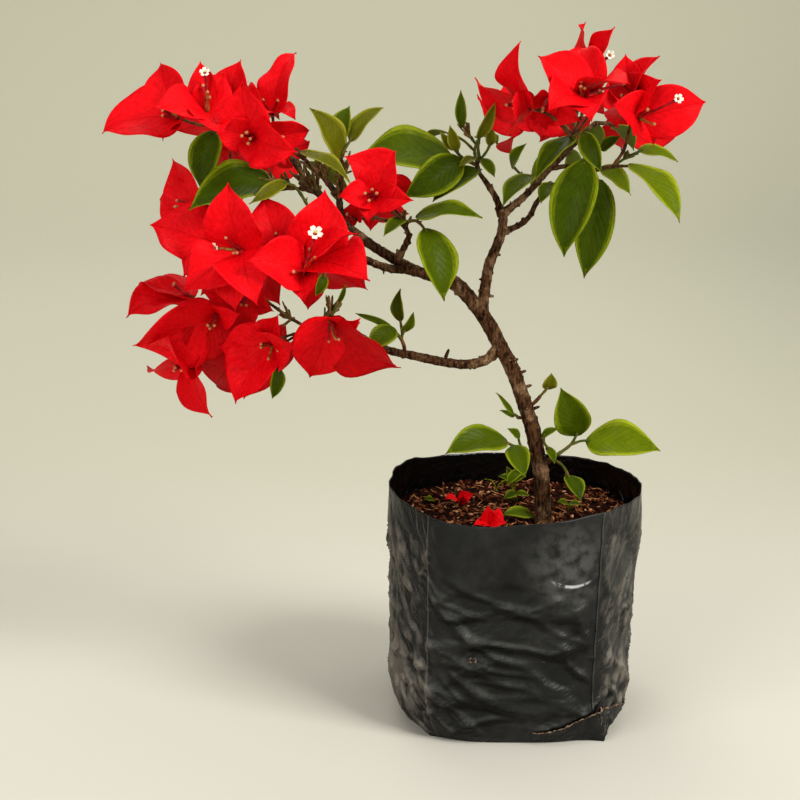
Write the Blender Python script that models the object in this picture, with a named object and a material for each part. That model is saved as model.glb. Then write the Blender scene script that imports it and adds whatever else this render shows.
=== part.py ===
"""Young bougainvillea in a black polythene nursery bag.

A flat-bottomed film bag holds a plug of coir compost. One leaning trunk stands in the compost and
forks into boughs, and each bough ends in a mass of papery red blooms and green leaves on twigs.

Tables are in millimetres, as (right, back, up) from the middle of the bag's underside, and MM turns
them to metres where a shape is made. X runs to the right, Y to the back and Z up.
"""

import math
import random
from collections import namedtuple

import bmesh
import bpy
from mathutils import Matrix, Vector, geometry
from mathutils.bvhtree import BVHTree

MM = 0.001
SLIVER = 0.005  # edges shorter than this are closed up
GAP = 0.3 * MM  # clearance between solids that touch on the real plant
UP = Vector((0, 0, 1))

# ---------------------------------------------------------------- bag and compost sizes

FILM = 0.6
BAG_SIDES = 32
# (height, half-width, half-depth, how far to the right the middle is): the bag is tucked in at the
# foot, fullest just above it and open at the rim
BAG_PROFILE = (
    (0.0, 59.0, 67.0, -2.0), (4.0, 63.0, 69.5, -2.0), (14.0, 66.0, 71.0, -2.0), (55.0, 66.3, 70.5, -1.5),
    (108.0, 69.2, 70.3, 0.3), (126.0, 70.2, 70.2, 0.9))
FOOT_SQUARENESS, RIM_SQUARENESS = 3.0, 2.1  # superellipse exponents: the foot is squarer than the rim
RIM_WAVES = ((1, 0.7, -1.7), (2, 2.2, 2.3), (3, 1.1, -1.6))  # (waves round the rim, height, phase)

COMPOST_TOP = 108.0
COMPOST_ROUGHNESS = 1.3
COMPOST_RINGS = (0.85, 0.5)
FLAT_SHARE = 0.2  # share of the way out from the trunk that stays flat

# ---------------------------------------------------------------- limbs

FOOT_FLARE = 1.8  # how much the trunk's radius grows at the compost
FLARE_HEIGHT = 9.0
STATION = 9.0  # distance between rings along a limb

# name: (route, radius at its start, radius at its end, ring sides, limbs that its foot is cut clear of)
LIMBS = {
    "trunk": (
        ((16, -14, 108.3), (15, -13, 127), (13, -12, 143), (9, -10, 161), (3, -9, 180), (-3, -8, 196),
         (-9, -7, 207), (-16, -6, 220), (-24, -5, 231), (-32, -5, 240), (-38, -5, 244)),
        4.5, 3.9, 10, ()),
    "bough_left": (
        ((-38, -5, 244), (-47, -7, 246), (-57, -9, 250), (-68, -12, 257), (-77, -14, 263), (-86, -14, 270)),
        3.2, 2.4, 8, ("trunk",)),
    "bough_left_front": (
        ((-57, -9, 250), (-68, -18, 252), (-78, -26, 257), (-87, -32, 263)), 2.3, 1.8, 8, ("bough_left",)),
    "bough_centre": (
        ((-65, -11, 255), (-61, -15, 263), (-58, -19, 271)), 1.9, 1.5, 8, ("bough_left",)),
    "bough_lower": (
        ((-10, -7, 205), (-18, -9, 199), (-29, -13, 198), (-42, -18, 201), (-55, -22, 205), (-69, -26, 209),
         (-81, -28, 215), (-90, -30, 221)),
        2.7, 1.9, 8, ("trunk",)),
    "bough_right": (
        ((-19, -6, 225), (-17, -4, 240), (-15, -2, 251), (-11, 0, 261), (-8, 2, 270), (-8, 3, 280)),
        3.1, 2.4, 8, ("trunk",)),
    "bough_right_inner": (
        ((-8, 3, 277), (-11, 6, 285), (-14, 8, 290), (-18, 8, 296)), 1.9, 1.4, 8, ("bough_right",)),
    "bough_right_outer": (
        ((-8, 3, 278), (-1, 0, 284), (5, -3, 290), (11, -5, 297)), 2.1, 1.6, 8,
        ("bough_right", "bough_right_inner")),
    "bough_right_low": (
        ((-9, 2, 268), (0, 8, 270), (7, 14, 274), (11, 18, 281), (16, 20, 288)), 1.7, 1.2, 8, ("bough_right",)),
}

# ---------------------------------------------------------------- leaves, bracts and flowers


class Blade:
    """The outline and curl of a leaf or bract. widest and taper shape its edge, bend is how far it
    curls away from its upper face over its length, in radians, and cup lifts its two edges."""

    def __init__(self, stations, waist, tail, bend, cup, aspect, thickness):
        self.stations, self.waist, self.tail = stations, waist, tail
        self.bend, self.cup, self.aspect, self.thickness = bend, cup, aspect, thickness
        self.widest = waist / (waist + tail)

    def outline(self, share):
        """Half-width at a share of the length, where the widest place is 1."""
        share = max(share, NECK_SHARE)
        rise = (share / self.widest) ** self.waist
        return rise * ((1 - share) / (1 - self.widest)) ** self.tail


LEAF = Blade((0.0, 0.4), waist=0.62, tail=0.92, bend=0.7, cup=0.35, aspect=0.5, thickness=0.7)
BRACT = Blade((0.0, 0.27, 0.62), waist=0.5, tail=1.0, bend=0.75, cup=0.3, aspect=0.7, thickness=0.6)
NECK_SHARE = 0.006  # a blade's foot is as wide as its outline is at this share of its length
BRACT_OPENING = math.radians(44)  # angle between the flower's axis and a bract where it starts
HUB_RADIUS, HUB_RISE = 1.3, 0.6  # a bloom's twig swells to this radius and ends this far past the hub
BRACT_SINK = 1.2  # how far inside that end a bract starts
PETIOLE_RADIUS, PETIOLE_OVERLAP = 0.7, 2.5

# ---------------------------------------------------------------- twigs

TWIG_RADIUS, TWIG_POWER, TWIG_SIDES = 0.75, 0.42, 3  # radius = TWIG_RADIUS * (growths carried) ** TWIG_POWER
TWIG_STATION, TWIG_WOBBLE = 11.0, 0.6
TWIG_EASE = 0.35  # share of a twig's span over which it eases out of one direction and into the other
DETOUR = 0.35  # what a millimetre of path back to the stem's foot costs next to one of new twig
EASY_TURN, SHARPNESS_COST = math.radians(50), 30.0
STARTS_TRIED = 8
STEM_SHARE = 0.45  # the stem's length as a share of the way to the middle of its blooms and leaves
CLEARANCE = 0.25 * MM  # a part's corners are moved out this far before it is tested for touching
PROBE = 20.0  # how far outside a limb the search for its surface starts

# ---------------------------------------------------------------- masses of blooms and leaves

TWIN_LEAN = math.radians(15)  # how far the plane between the near and far side leans back
TWIN_SIZE = 0.92
TWIN_FROM = 44.0  # a bloom or leaf has a twin where the two are this far apart


class Mass:
    """Blooms are (hub, facing, bracts), each bract an angle round the hub in degrees and a length.
    Leaves are (base, tip, upper face). limb is the limb whose tip carries the mass, or whose side
    does at the place that side gives. Nothing of the mass is further than reach from its foot."""

    def __init__(self, limb, depth, reach, blooms=(), leaves=(), side=None, seed=1, stem=1.5):
        self.limb, self.depth, self.reach = limb, depth, reach
        self.blooms, self.leaves = blooms, leaves
        self.side, self.seed, self.stem = side, seed, stem


MASSES = {
    "crown_left_front": Mass(
        "bough_left_front", depth=-12, reach=125, seed=11, stem=1.7,
        blooms=(
            ((-145, -45, 267), (-0.4, -0.85, 0.3), ((98, 38), (230, 38), (-38, 36))),
            ((-158, -24, 263), (-0.35, -0.55, 0.75), ((182, 42), (-80, 37), (78, 32))),
            ((-126, -38, 265), (-0.1, -0.65, 0.75), ((106, 33), (-45, 34))),
            ((-113, -56, 259), (0.2, -0.85, 0.5), ((76, 44), (180, 37), (-22, 38))),
            ((-110, -44, 261), (-0.1, -0.8, 0.5), ((24, 33), (-80, 35)))),
        leaves=(
            ((-129, -12, 297), (-172, -35, 283), (-0.2, -0.5, 0.9)),
            ((-120, -24, 296), (-140, -40, 290), (0.3, -0.6, 0.7)),
            ((-103, -30, 251), (-108, -36, 241), (0.2, -0.9, 0.2)))),
    "crown_top_left": Mass(
        "bough_left", depth=2, reach=165, seed=21, stem=2.2,
        blooms=(
            ((-181, -2, 330), (-0.55, -0.55, 0.6), ((222, 41), (123, 34), (-40, 38))),
            ((-165, -14, 335), (0.1, -0.65, 0.75), ((199, 35), (84, 30), (-76, 36))),
            ((-153, -4, 337), (0.0, -0.6, 0.8), ((80, 28), (-52, 34))),
            ((-140, -26, 324), (-0.55, -0.8, 0.1), ((163, 27), (83, 34), (-8, 38))),
            ((-134, -18, 324), (0.7, -0.7, 0.0), ((1, 28), (205, 36))),
            ((-127, 10, 332), (0.15, -0.5, 0.85), ((65, 40), (208, 33), (-90, 35))),
            ((-153, 5, 318), (-0.1, -0.3, -0.9), ((240, 33), (60, 30))),
            ((-173, 12, 280), (-0.95, -0.1, 0.1), ((54, 38), (198, 36)))),
        leaves=(
            ((-94, -5, 309), (-111, -12, 337), (0.6, -0.6, 0.2)),
            ((-90, -3, 318), (-72, 5, 335), (-0.5, -0.5, 0.8)),
            ((-99, 0, 316), (-90, 6, 336), (0.1, -0.9, 0.4)),
            ((-118, -15, 313), (-88, -35, 300), (0.2, -0.4, 0.9)),
            ((-166, -5, 323), (-169, -13, 291), (-0.5, -0.8, 0.1)))),
    "crown_low_left": Mass(
        "bough_lower", depth=-12, reach=130, seed=31, stem=1.7,
        blooms=(
            ((-177, 2, 232), (-0.65, -0.1, 0.75), ((-57, 40), (223, 38))),
            ((-161, -28, 230), (-0.2, -0.9, -0.4), ((191, 47), (245, 32), (85, 36))),
            ((-175, -20, 204), (-0.7, -0.55, -0.45), ((186, 35), (-49, 38), (72, 36))),
            ((-148, -26, 210), (-0.5, -0.55, -0.7), ((219, 35), (20, 34))),
            ((-131, -38, 216), (-0.6, -0.8, 0.0), ((189, 32), (251, 39), (0, 34))),
            ((-100, -36, 228), (0.0, -0.65, -0.75), ((232, 39), (-21, 43)))),
        leaves=(
            ((-122, -26, 200), (-125, -29, 183), (0.6, -0.8, 0.1)),
            ((-99, -26, 233), (-91, -28, 246), (0.7, -0.6, 0.3)))),
    "crown_centre": Mass(
        "bough_centre", depth=-2, reach=85, seed=41, stem=1.3,
        blooms=(
            ((-73, -37, 297), (-0.6, -0.7, 0.35), ((201, 26), (38, 34), (-50, 33))),
            ((-70, -8, 294), (0.5, -0.8, 0.3), ((120, 34), (-32, 30))),
            ((-87, -6, 277), (-0.5, -0.7, 0.1), ((60, 14), (180, 13)))),
        leaves=(
            ((-55, -22, 278), (-20, -32, 281), (0.1, -0.5, 0.9)),
            ((-54, -24, 273), (-42, -39, 239), (0.5, -0.8, 0.3)),
            ((-61, -15, 279), (-72, -25, 271), (-0.3, -0.7, 0.6)))),
    "crown_upper_middle": Mass(
        "bough_right_inner", depth=4, reach=75, seed=51, stem=1.2,
        leaves=(
            ((-30, 0, 324), (-32, 2, 345), (-0.3, -0.9, 0.0)),
            ((-22, -5, 321), (-12, -10, 341), (0.5, -0.8, 0.2)),
            ((-36, 8, 323), (-56, 18, 321), (0.0, -0.4, 0.9)),
            ((-36, 3, 313), (-86, 1, 310), (0.0, -0.5, 0.9)),
            ((-31, -8, 310), (-59, -25, 287), (-0.3, -0.7, 0.6)),
            ((-23, -3, 299), (-44, -12, 287), (-0.2, -0.4, 0.8)))),
    "crown_right": Mass(
        "bough_right_outer", depth=6, reach=125, seed=61, stem=1.5,
        blooms=(
            ((5, -20, 338), (-0.85, -0.5, 0.15), ((76, 41), (165, 40), (-85, 30))),
            ((15, -8, 342), (-0.3, -0.3, -0.85), ((209, 33), (30, 30))),
            ((32, -28, 345), (0.0, -0.65, 0.75), ((143, 34), (218, 32), (-78, 35))),
            ((35, -18, 346), (-0.1, -0.3, 0.95), ((108, 34), (-30, 36))),
            ((41, 8, 353), (-0.7, -0.1, 0.7), ((148, 37), (43, 37))),
            ((60, -12, 342), (-0.6, -0.6, 0.5), ((71, 31), (14, 35), (-62, 36))),
            ((67, -16, 323), (0.5, -0.85, 0.1), ((30, 38), (150, 34), (-90, 26)))),
        leaves=(
            ((36, -25, 311), (24, -36, 261), (-0.2, -0.9, 0.3)),
            ((44, -11, 297), (36, -19, 247), (0.1, -0.9, 0.3)),
            ((58, -15, 309), (84, -35, 281), (0.5, -0.6, 0.6)),
            ((64, 5, 312), (87, 14, 304), (0.2, -0.4, 0.9)),
            ((33, -30, 331), (42, -42, 313), (-0.4, -0.8, 0.4)),
            ((29, -15, 324), (8, -30, 303), (-0.5, -0.5, 0.7)),
            ((46, 10, 301), (63, 25, 286), (0.3, -0.6, 0.7)))),
    "crown_right_low": Mass(
        "bough_right_low", depth=14, reach=55, seed=71, stem=1.0,
        leaves=(
            ((8, -4, 300), (-9, -20, 286), (-0.4, -0.6, 0.7)),
            ((19, 8, 294), (9, -6, 285), (-0.3, -0.6, 0.7)),
            ((-3, 8, 302), (4, -3, 317), (-0.7, -0.6, 0.3)))),
    "shoot_lower_bough": Mass(
        "bough_lower", depth=-20, reach=40, side=(-60, -23, 207), seed=81, stem=1.0,
        leaves=(
            ((-66, -21, 219), (-90, -14, 233), (0.0, -0.5, 0.9)),
            ((-66, -25, 220), (-79, -35, 211), (-0.3, -0.7, 0.6)),
            ((-63, -18, 223), (-63, -13, 240), (-0.6, -0.8, 0.0)),
            ((-62, -22, 218), (-56, -25, 230), (0.6, -0.8, 0.1)))),
    "shoot_base_left": Mass(
        "trunk", depth=-18, reach=58, side=(13, -12, 145), seed=91, stem=1.0,
        leaves=(
            ((-5, -20, 159), (-39, -36, 158), (-0.1, -0.4, 0.9)),
            ((-2, -22, 155), (4, -39, 143), (0.0, -0.8, 0.6)))),
    "shoot_base_right": Mass(
        "trunk", depth=-6, reach=64, side=(14, -12, 139), seed=101, stem=1.7,
        leaves=(
            ((34, -6, 157), (24, -13, 184), (-0.2, -0.9, 0.3)),
            ((40, -6, 154), (78, -16, 154), (0.0, -0.7, 0.7)),
            ((28, -19, 136), (34, -31, 126), (0.4, -0.7, 0.5)))),
    "shoot_trunk_right": Mass(
        "trunk", depth=-8, reach=36, side=(6, -9, 171), seed=111, stem=1.4,
        leaves=(((17, -9, 184), (21, -12, 196), (0.2, -0.9, 0.3)),)),
    "shoot_trunk_left": Mass(
        "trunk", depth=-8, reach=30, side=(7, -9, 166), seed=121, stem=0.9,
        leaves=(((-3, -12, 168), (-11, -8, 181), (0.3, -0.8, 0.4)),)),
}

# ---------------------------------------------------------------- swept bodies


def metres(point):
    return Vector(point) * MM


def skin(rings, tip=None):
    """Mesh of a closed body drawn from ring to ring of points, and on to a tip where one is given."""
    bm = bmesh.new()
    circle = bmesh.ops.create_circle(bm, cap_ends=True, segments=len(rings[0]), radius=1)
    face = circle["verts"][0].link_faces[0]
    foot_edges = list(face.edges)
    for vert, point in zip(face.verts, rings[0]):
        vert.co = point
    for ring in rings[1:]:
        face = bmesh.ops.extrude_discrete_faces(bm, faces=[face])["faces"][0]
        for vert, point in zip(face.verts, ring):
            vert.co = point
    if tip:
        bmesh.ops.poke(bm, faces=[face])["verts"][0].co = tip
    bmesh.ops.holes_fill(bm, edges=foot_edges, sides=0)
    bmesh.ops.recalc_face_normals(bm, faces=bm.faces)
    return to_mesh(bm)


def to_mesh(bm):
    mesh = bpy.data.meshes.new("shape")
    bm.to_mesh(mesh)
    bm.free()
    return mesh


def smooth_route(points, spacing):
    """Points about spacing apart on a smooth curve that passes through all the given ones."""
    ends = [2 * points[0] - points[1], *points, 2 * points[-1] - points[-2]]
    route = []
    for before, start, stop, after in zip(ends, ends[1:], ends[2:], ends[3:]):
        leaving, arriving = start + (stop - before) / 6, stop - (after - start) / 6
        count = max(2, round((stop - start).length / spacing) + 1)
        route += geometry.interpolate_bezier(start, leaving, arriving, stop, count)[:-1]
    return route + [points[-1]]


def tube(route, radii, sides, foot_heading=None):
    """Mesh of a tapering limb along a route, its rings carried along without twist. foot_heading is
    what the first ring is square to, where that isn't the route's own start."""
    headings = [foot_heading or route[1] - route[0]]
    headings += [after - before for before, after in zip(route, route[2:])]
    headings.append(route[-1] - route[-2])
    rings, side = [], headings[0].orthogonal()
    for centre, heading, radius in zip(route, headings, radii):
        lift = heading.cross(side).normalized()
        side = lift.cross(heading).normalized()
        turns = [2 * math.pi * index / sides for index in range(sides)]
        rings.append([centre + radius * (side * math.cos(turn) + lift * math.sin(turn)) for turn in turns])
    return skin(rings)


def distances(route):
    """How far along the route each of its points is."""
    travelled = [0.0]
    for before, after in zip(route, route[1:]):
        travelled.append(travelled[-1] + (after - before).length)
    return travelled


# ---------------------------------------------------------------- objects and Booleans


def make_material(name, colour, roughness):
    material = bpy.data.materials.new(name)
    material.use_nodes = True
    surface = material.node_tree.nodes["Principled BSDF"]
    surface.inputs["Base Color"].default_value = (*colour, 1)
    surface.inputs["Roughness"].default_value = roughness
    surface.inputs["Metallic"].default_value = 0.0
    return material


def add_object(name, mesh, material, collection=None):
    shape = bpy.data.objects.new(name, mesh)
    mesh.materials.clear()
    mesh.materials.append(material)
    (collection or bpy.context.scene.collection).objects.link(shape)
    return shape


def combine(shape, others, operation, solver="EXACT"):
    """Joins or cuts an object's mesh with other closed meshes, in one applied Boolean."""
    collection = bpy.data.collections.new("operands")
    bpy.context.scene.collection.children.link(collection)
    for mesh in others:
        add_object("operand", mesh, shape.data.materials[0], collection)
    boolean = shape.modifiers.new("Join or cut", "BOOLEAN")
    boolean.operation = operation
    boolean.solver = solver
    boolean.operand_type = "COLLECTION"
    boolean.collection = collection
    evaluated = shape.evaluated_get(bpy.context.evaluated_depsgraph_get())
    result = bpy.data.meshes.new_from_object(evaluated)
    shape.modifiers.clear()
    shape.data = result
    for operand in list(collection.objects):
        bpy.data.objects.remove(operand)
    bpy.data.collections.remove(collection)


def keep_largest_body(shape):
    """Drops any scrap that a Boolean left apart from the main body."""
    bm = bmesh.new()
    bm.from_mesh(shape.data)
    left, bodies = set(bm.verts), []
    while left:
        body, edge_of_body = set(), [next(iter(left))]
        while edge_of_body:
            vert = edge_of_body.pop()
            if vert not in body:
                body.add(vert)
                edge_of_body += [edge.other_vert(vert) for edge in vert.link_edges]
        left -= body
        bodies.append(body)
    main = max(bodies, key=len)
    bmesh.ops.delete(bm, geom=[vert for vert in bm.verts if vert not in main], context="VERTS")
    bm.to_mesh(shape.data)
    bm.free()


def drop_slivers(shape):
    """Closes up the hair-thin faces that a Boolean leaves along its cuts."""
    bm = bmesh.new()
    bm.from_mesh(shape.data)
    bmesh.ops.triangulate(bm, faces=bm.faces)
    bmesh.ops.dissolve_degenerate(bm, dist=SLIVER * MM, edges=bm.edges)
    bmesh.ops.triangulate(bm, faces=bm.faces)
    bm.to_mesh(shape.data)
    bm.free()


def tree_of(mesh, swell=0.0):
    """A search tree of a mesh's faces, with its corners moved out by swell."""
    corners = [vert.co + vert.normal * swell for vert in mesh.vertices]
    return BVHTree.FromPolygons(corners, [tuple(face.vertices) for face in mesh.polygons])


# ---------------------------------------------------------------- bag and compost


def bag_section(height):
    """The bag's half-width and half-depth at a height, and how far to the right its middle is."""
    low, high = next(pair for pair in zip(BAG_PROFILE, BAG_PROFILE[1:]) if height <= pair[1][0])
    share = (height - low[0]) / (high[0] - low[0])
    return [below + share * (above - below) for below, above in zip(low[1:], high[1:])]


def bag_ring(height, inset):
    """Points round the bag at a height, inset from its outside. The section rounds off upwards."""
    half_width, half_depth, middle = bag_section(height)
    rise = height / BAG_PROFILE[-1][0]
    power = 2 / (FOOT_SQUARENESS + rise * (RIM_SQUARENESS - FOOT_SQUARENESS))
    ring = []
    for index in range(BAG_SIDES):
        turn = 2 * math.pi * (index + 0.5) / BAG_SIDES
        right = math.copysign(abs(math.cos(turn)) ** power, math.cos(turn)) * (half_width - inset)
        back = math.copysign(abs(math.sin(turn)) ** power, math.sin(turn)) * (half_depth - inset)
        ring.append(metres((middle + right, back, height)))
    return ring


def rim_ring(inset):
    """The bag's wavy top edge."""
    ring = bag_ring(BAG_PROFILE[-1][0], inset)
    for index, point in enumerate(ring):
        turn = 2 * math.pi * (index + 0.5) / BAG_SIDES
        point.z += sum(height * math.sin(waves * turn + phase) for waves, height, phase in RIM_WAVES) * MM
    return ring


def make_bag(material):
    levels = [height for height, *_ in BAG_PROFILE[:-1]]
    outside = [bag_ring(height, 0.0) for height in levels]
    inside = [bag_ring(max(height, FILM), FILM) for height in reversed(levels)]
    return add_object("bag", skin([*outside, rim_ring(0.0), rim_ring(FILM), *inside]), material)


def make_compost(material, trunk_foot):
    """A plug that fills the bag, flat under the trunk and lumpy elsewhere."""
    clearance = FILM + 2 * GAP / MM  # twice, because the bag's facets can fold inwards
    levels = [height for height, *_ in BAG_PROFILE if height < COMPOST_TOP]
    sides = [bag_ring(max(height, clearance), clearance) for height in [*levels, COMPOST_TOP]]
    rng = random.Random(5)
    top = []
    for share in COMPOST_RINGS:
        ring = [trunk_foot.lerp(edge, share) for edge in sides[-1]]
        for point in ring:
            point.z = (COMPOST_TOP + rng.uniform(-1, 1) * COMPOST_ROUGHNESS) * MM
        top.append(ring)
    flat = [trunk_foot.lerp(edge, FLAT_SHARE) for edge in sides[-1]]
    for point in flat:
        point.z = COMPOST_TOP * MM
    return add_object("compost", skin(sides + top + [flat]), material)


# ---------------------------------------------------------------- limbs


def limb_mesh(name, swell=0.0):
    """One tapering limb. swell makes it thicker and longer by that much, as a cutter for what joins it."""
    points, start_radius, end_radius, sides, parents = LIMBS[name]
    route = smooth_route([metres(point) for point in points], STATION * MM)
    heading = (route[-1] - route[-2]).normalized()
    route[-1] = route[-1] + heading * swell
    travelled = distances(route)
    radii = []
    for distance in travelled:
        radius = start_radius + (end_radius - start_radius) * distance / travelled[-1]
        if not parents:
            radius += FOOT_FLARE * math.exp(-distance / MM / FLARE_HEIGHT)
        radii.append(radius * MM + swell)
    return tube(route, radii, sides, None if parents else UP)


def make_limb(name, material):
    """A limb with its foot cut to sit 0.3 mm clear of the limbs that it grows from."""
    limb = add_object(name, limb_mesh(name), material)
    parents = LIMBS[name][4]
    if parents:
        combine(limb, [limb_mesh(parent, GAP) for parent in parents], "DIFFERENCE")
        keep_largest_body(limb)
    return limb


# ---------------------------------------------------------------- leaves and blooms


def blade_mesh(blade, length, base, along, upper):
    """A leaf or bract with its foot at base. It starts out along a direction and curls away from its
    upper face. Each ring is a flat diamond: an edge, the midrib's top, the other edge, its underside."""
    across = upper.cross(along).normalized()
    lift = along.cross(across).normalized()
    half_width = length * blade.aspect / 2
    rings = []
    for share in blade.stations:
        place, normal = curl(blade, length, share, base, along, lift)
        width = half_width * blade.outline(share)
        edge_lift = normal * width * blade.cup * min(1.0, share / blade.widest)
        rib = normal * blade.thickness * MM / 2
        rings.append([place + across * width + edge_lift, place + rib,
                      place - across * width + edge_lift, place - rib])
    tip, _ = curl(blade, length, 1.0, base, along, lift)
    return skin(rings, tip)


def curl(blade, length, share, base, along, lift):
    """Where the midrib is after a share of its length, and which way its upper face looks there."""
    turned = blade.bend * share
    radius = length / blade.bend
    place = base + along * radius * math.sin(turned) - lift * radius * (1 - math.cos(turned))
    return place, along * math.sin(turned) + lift * math.cos(turned)


# what grows at the end of a twig: its blades, and where the twig has to arrive, which way, how thick
Growth = namedtuple("Growth", "blades goal arrival radius")


def leaf_growth(base, tip, upper):
    """A leaf between two points."""
    chord = tip - base
    half_bend = LEAF.bend / 2
    sideways = upper.cross(chord).normalized()
    along = (Matrix.Rotation(-half_bend, 3, sideways) @ chord).normalized()
    length = chord.length * half_bend / math.sin(half_bend)
    upper_there = along.cross(sideways)
    mesh = blade_mesh(LEAF, length, base, along, upper_there)
    return Growth([mesh], base + along * PETIOLE_OVERLAP * MM, along, PETIOLE_RADIUS * MM)


def bloom_growth(hub, facing, bracts, size, mirror):
    """Bracts round a hub. mirror turns a direction over for a bloom on the far side of its mass."""
    axis = facing.normalized()
    top = (UP - axis * UP.dot(axis)).normalized()
    right = top.cross(axis)
    out, forward = math.sin(BRACT_OPENING), math.cos(BRACT_OPENING)
    blades = []
    for angle, length in bracts:
        turn = math.radians(angle)
        radial = right * math.cos(turn) + top * math.sin(turn)
        along = mirror(radial * out + axis * forward)
        upper = mirror(axis * out - radial * forward)
        blades.append(blade_mesh(BRACT, length * size * MM, hub - along * BRACT_SINK * MM, along, upper))
    return Growth(blades, hub + mirror(axis) * HUB_RISE * MM, mirror(axis), HUB_RADIUS * MM)


# ---------------------------------------------------------------- twigs


class Twigs:
    """The twigs of one mass. The stem grows first. Each bloom and leaf then gets a twig from the node
    that gives it the shortest and straightest way back to the stem's foot."""

    def __init__(self, foot, heading, seed, stem_radius):
        self.places, self.headings, self.travelled, self.parents = [foot], [heading], [0.0], [None]
        self.loads, self.runs, self.ends = [0], [], {}
        self.rng = random.Random(seed)
        self.stem_radius = stem_radius * MM

    def route_to(self, start, goal, arrival):
        """A curve from a node to a goal that leaves along its twig and arrives in a direction."""
        place = self.places[start]
        reach = (goal - place).length
        leaving = (self.headings[start] + (goal - place).normalized()).normalized()
        count = max(3, round(reach / (TWIG_STATION * MM)) + 1)
        handles = place + leaving * reach * TWIG_EASE, goal - arrival * reach * TWIG_EASE
        route = geometry.interpolate_bezier(place, *handles, goal, count)
        for point in route[1:-1]:
            point += Vector([self.rng.uniform(-1, 1) for _ in range(3)]) * TWIG_WOBBLE * MM
        return route

    def starts_for(self, goal):
        """Node numbers, from the best to leave from for this goal to the worst."""
        def cost(node):
            way = goal - self.places[node]
            turn = self.headings[node].angle(way, 0.0)
            sharp = max(0.0, turn - EASY_TURN) * SHARPNESS_COST * MM
            return way.length + DETOUR * self.travelled[node] + sharp
        return sorted(range(1, len(self.places)), key=cost)[:STARTS_TRIED]

    def add(self, start, route, end_radius):
        """Keeps a route as a twig and loads every node between it and the stem's foot."""
        run = [start]
        for before, place in zip(route, route[1:]):
            self.parents.append(run[-1])
            self.travelled.append(self.travelled[run[-1]] + (place - before).length)
            self.places.append(place)
            self.headings.append((place - before).normalized())
            self.loads.append(0)
            run.append(len(self.places) - 1)
        self.runs.append(run)
        self.ends[run[-1]] = end_radius
        node = run[-1]
        while node is not None:
            self.loads[node] += 1
            node = self.parents[node]

    def radius(self, node):
        carried = TWIG_RADIUS * MM * self.loads[node] ** TWIG_POWER
        return min(max(carried, self.ends.get(node, 0.0)), self.stem_radius)

    def meshes(self):
        """One tube for each twig, from the middle of the twig that it leaves. The stem's foot is cut
        square to the mass's heading."""
        for run in self.runs:
            radii = [self.radius(run[1]), *(self.radius(node) for node in run[1:])]
            foot_heading = None if run[0] else self.headings[0]
            yield tube([self.places[node] for node in run], radii, TWIG_SIDES, foot_heading)


def thin_tube(route):
    return tube(route, [TWIG_RADIUS * MM] * len(route), TWIG_SIDES)


def crossings(route, trees):
    """How many blades a twig along a route would run through."""
    twig = tree_of(thin_tube(route))
    return sum(1 for tree in trees if twig.overlap(tree))


# ---------------------------------------------------------------- masses


def stem_start(mass, limb_tree):
    """Where a mass's stem starts and its heading: past its bough's tip, or square to the limb's side."""
    points = [metres(point) for point in LIMBS[mass.limb][0]]
    if not mass.side:
        route = smooth_route(points, STATION * MM)
        heading = (route[-1] - route[-2]).normalized()
        return route[-1] + heading * GAP, heading
    middle = metres(mass.side)
    goal = sum((metres(base) for base, _, _ in mass.leaves), Vector()) / len(mass.leaves)
    outward = (goal - middle).normalized()
    surface, heading, _, _ = limb_tree.ray_cast(middle + outward * PROBE * MM, -outward)
    return surface + heading * GAP, heading


def far_side(mass, foot):
    """A function that mirrors a place or, with as_direction, a direction to the mass's far side. The
    mirror plane leans back, so the far side hangs lower than the near side."""
    normal = Vector((0, math.cos(TWIN_LEAN), -math.sin(TWIN_LEAN)))
    middle = Vector((foot.x, mass.depth * MM, foot.z))

    def mirror(vector, as_direction=False):
        offset = vector if as_direction else vector - middle
        return vector - 2 * offset.dot(normal) * normal
    return mirror


def growths(mass, foot):
    """Every bloom and leaf of a mass, nearest first, then their twins on its far side."""
    mirror = far_side(mass, foot)

    def over(direction):
        return mirror(direction, as_direction=True)

    def same(direction):
        return direction

    def by_distance(found):
        return sorted(found, key=lambda growth: (growth.goal - foot).length)

    def twinned(place):
        return mirror(place).y - place.y > TWIN_FROM * MM

    blooms = [(metres(hub), Vector(facing), bracts) for hub, facing, bracts in mass.blooms]
    leaves = [(metres(base), metres(tip), Vector(upper)) for base, tip, upper in mass.leaves]
    near = [bloom_growth(hub, facing, bracts, 1.0, same) for hub, facing, bracts in blooms]
    near += [leaf_growth(base, tip, upper) for base, tip, upper in leaves]
    far = [bloom_growth(mirror(hub), facing, bracts, TWIN_SIZE, over)
           for hub, facing, bracts in blooms if twinned(hub)]
    far += [leaf_growth(mirror(base), mirror(tip), over(upper))
            for base, tip, upper in leaves if twinned(base)]
    return by_distance(near) + by_distance(far)


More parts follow.
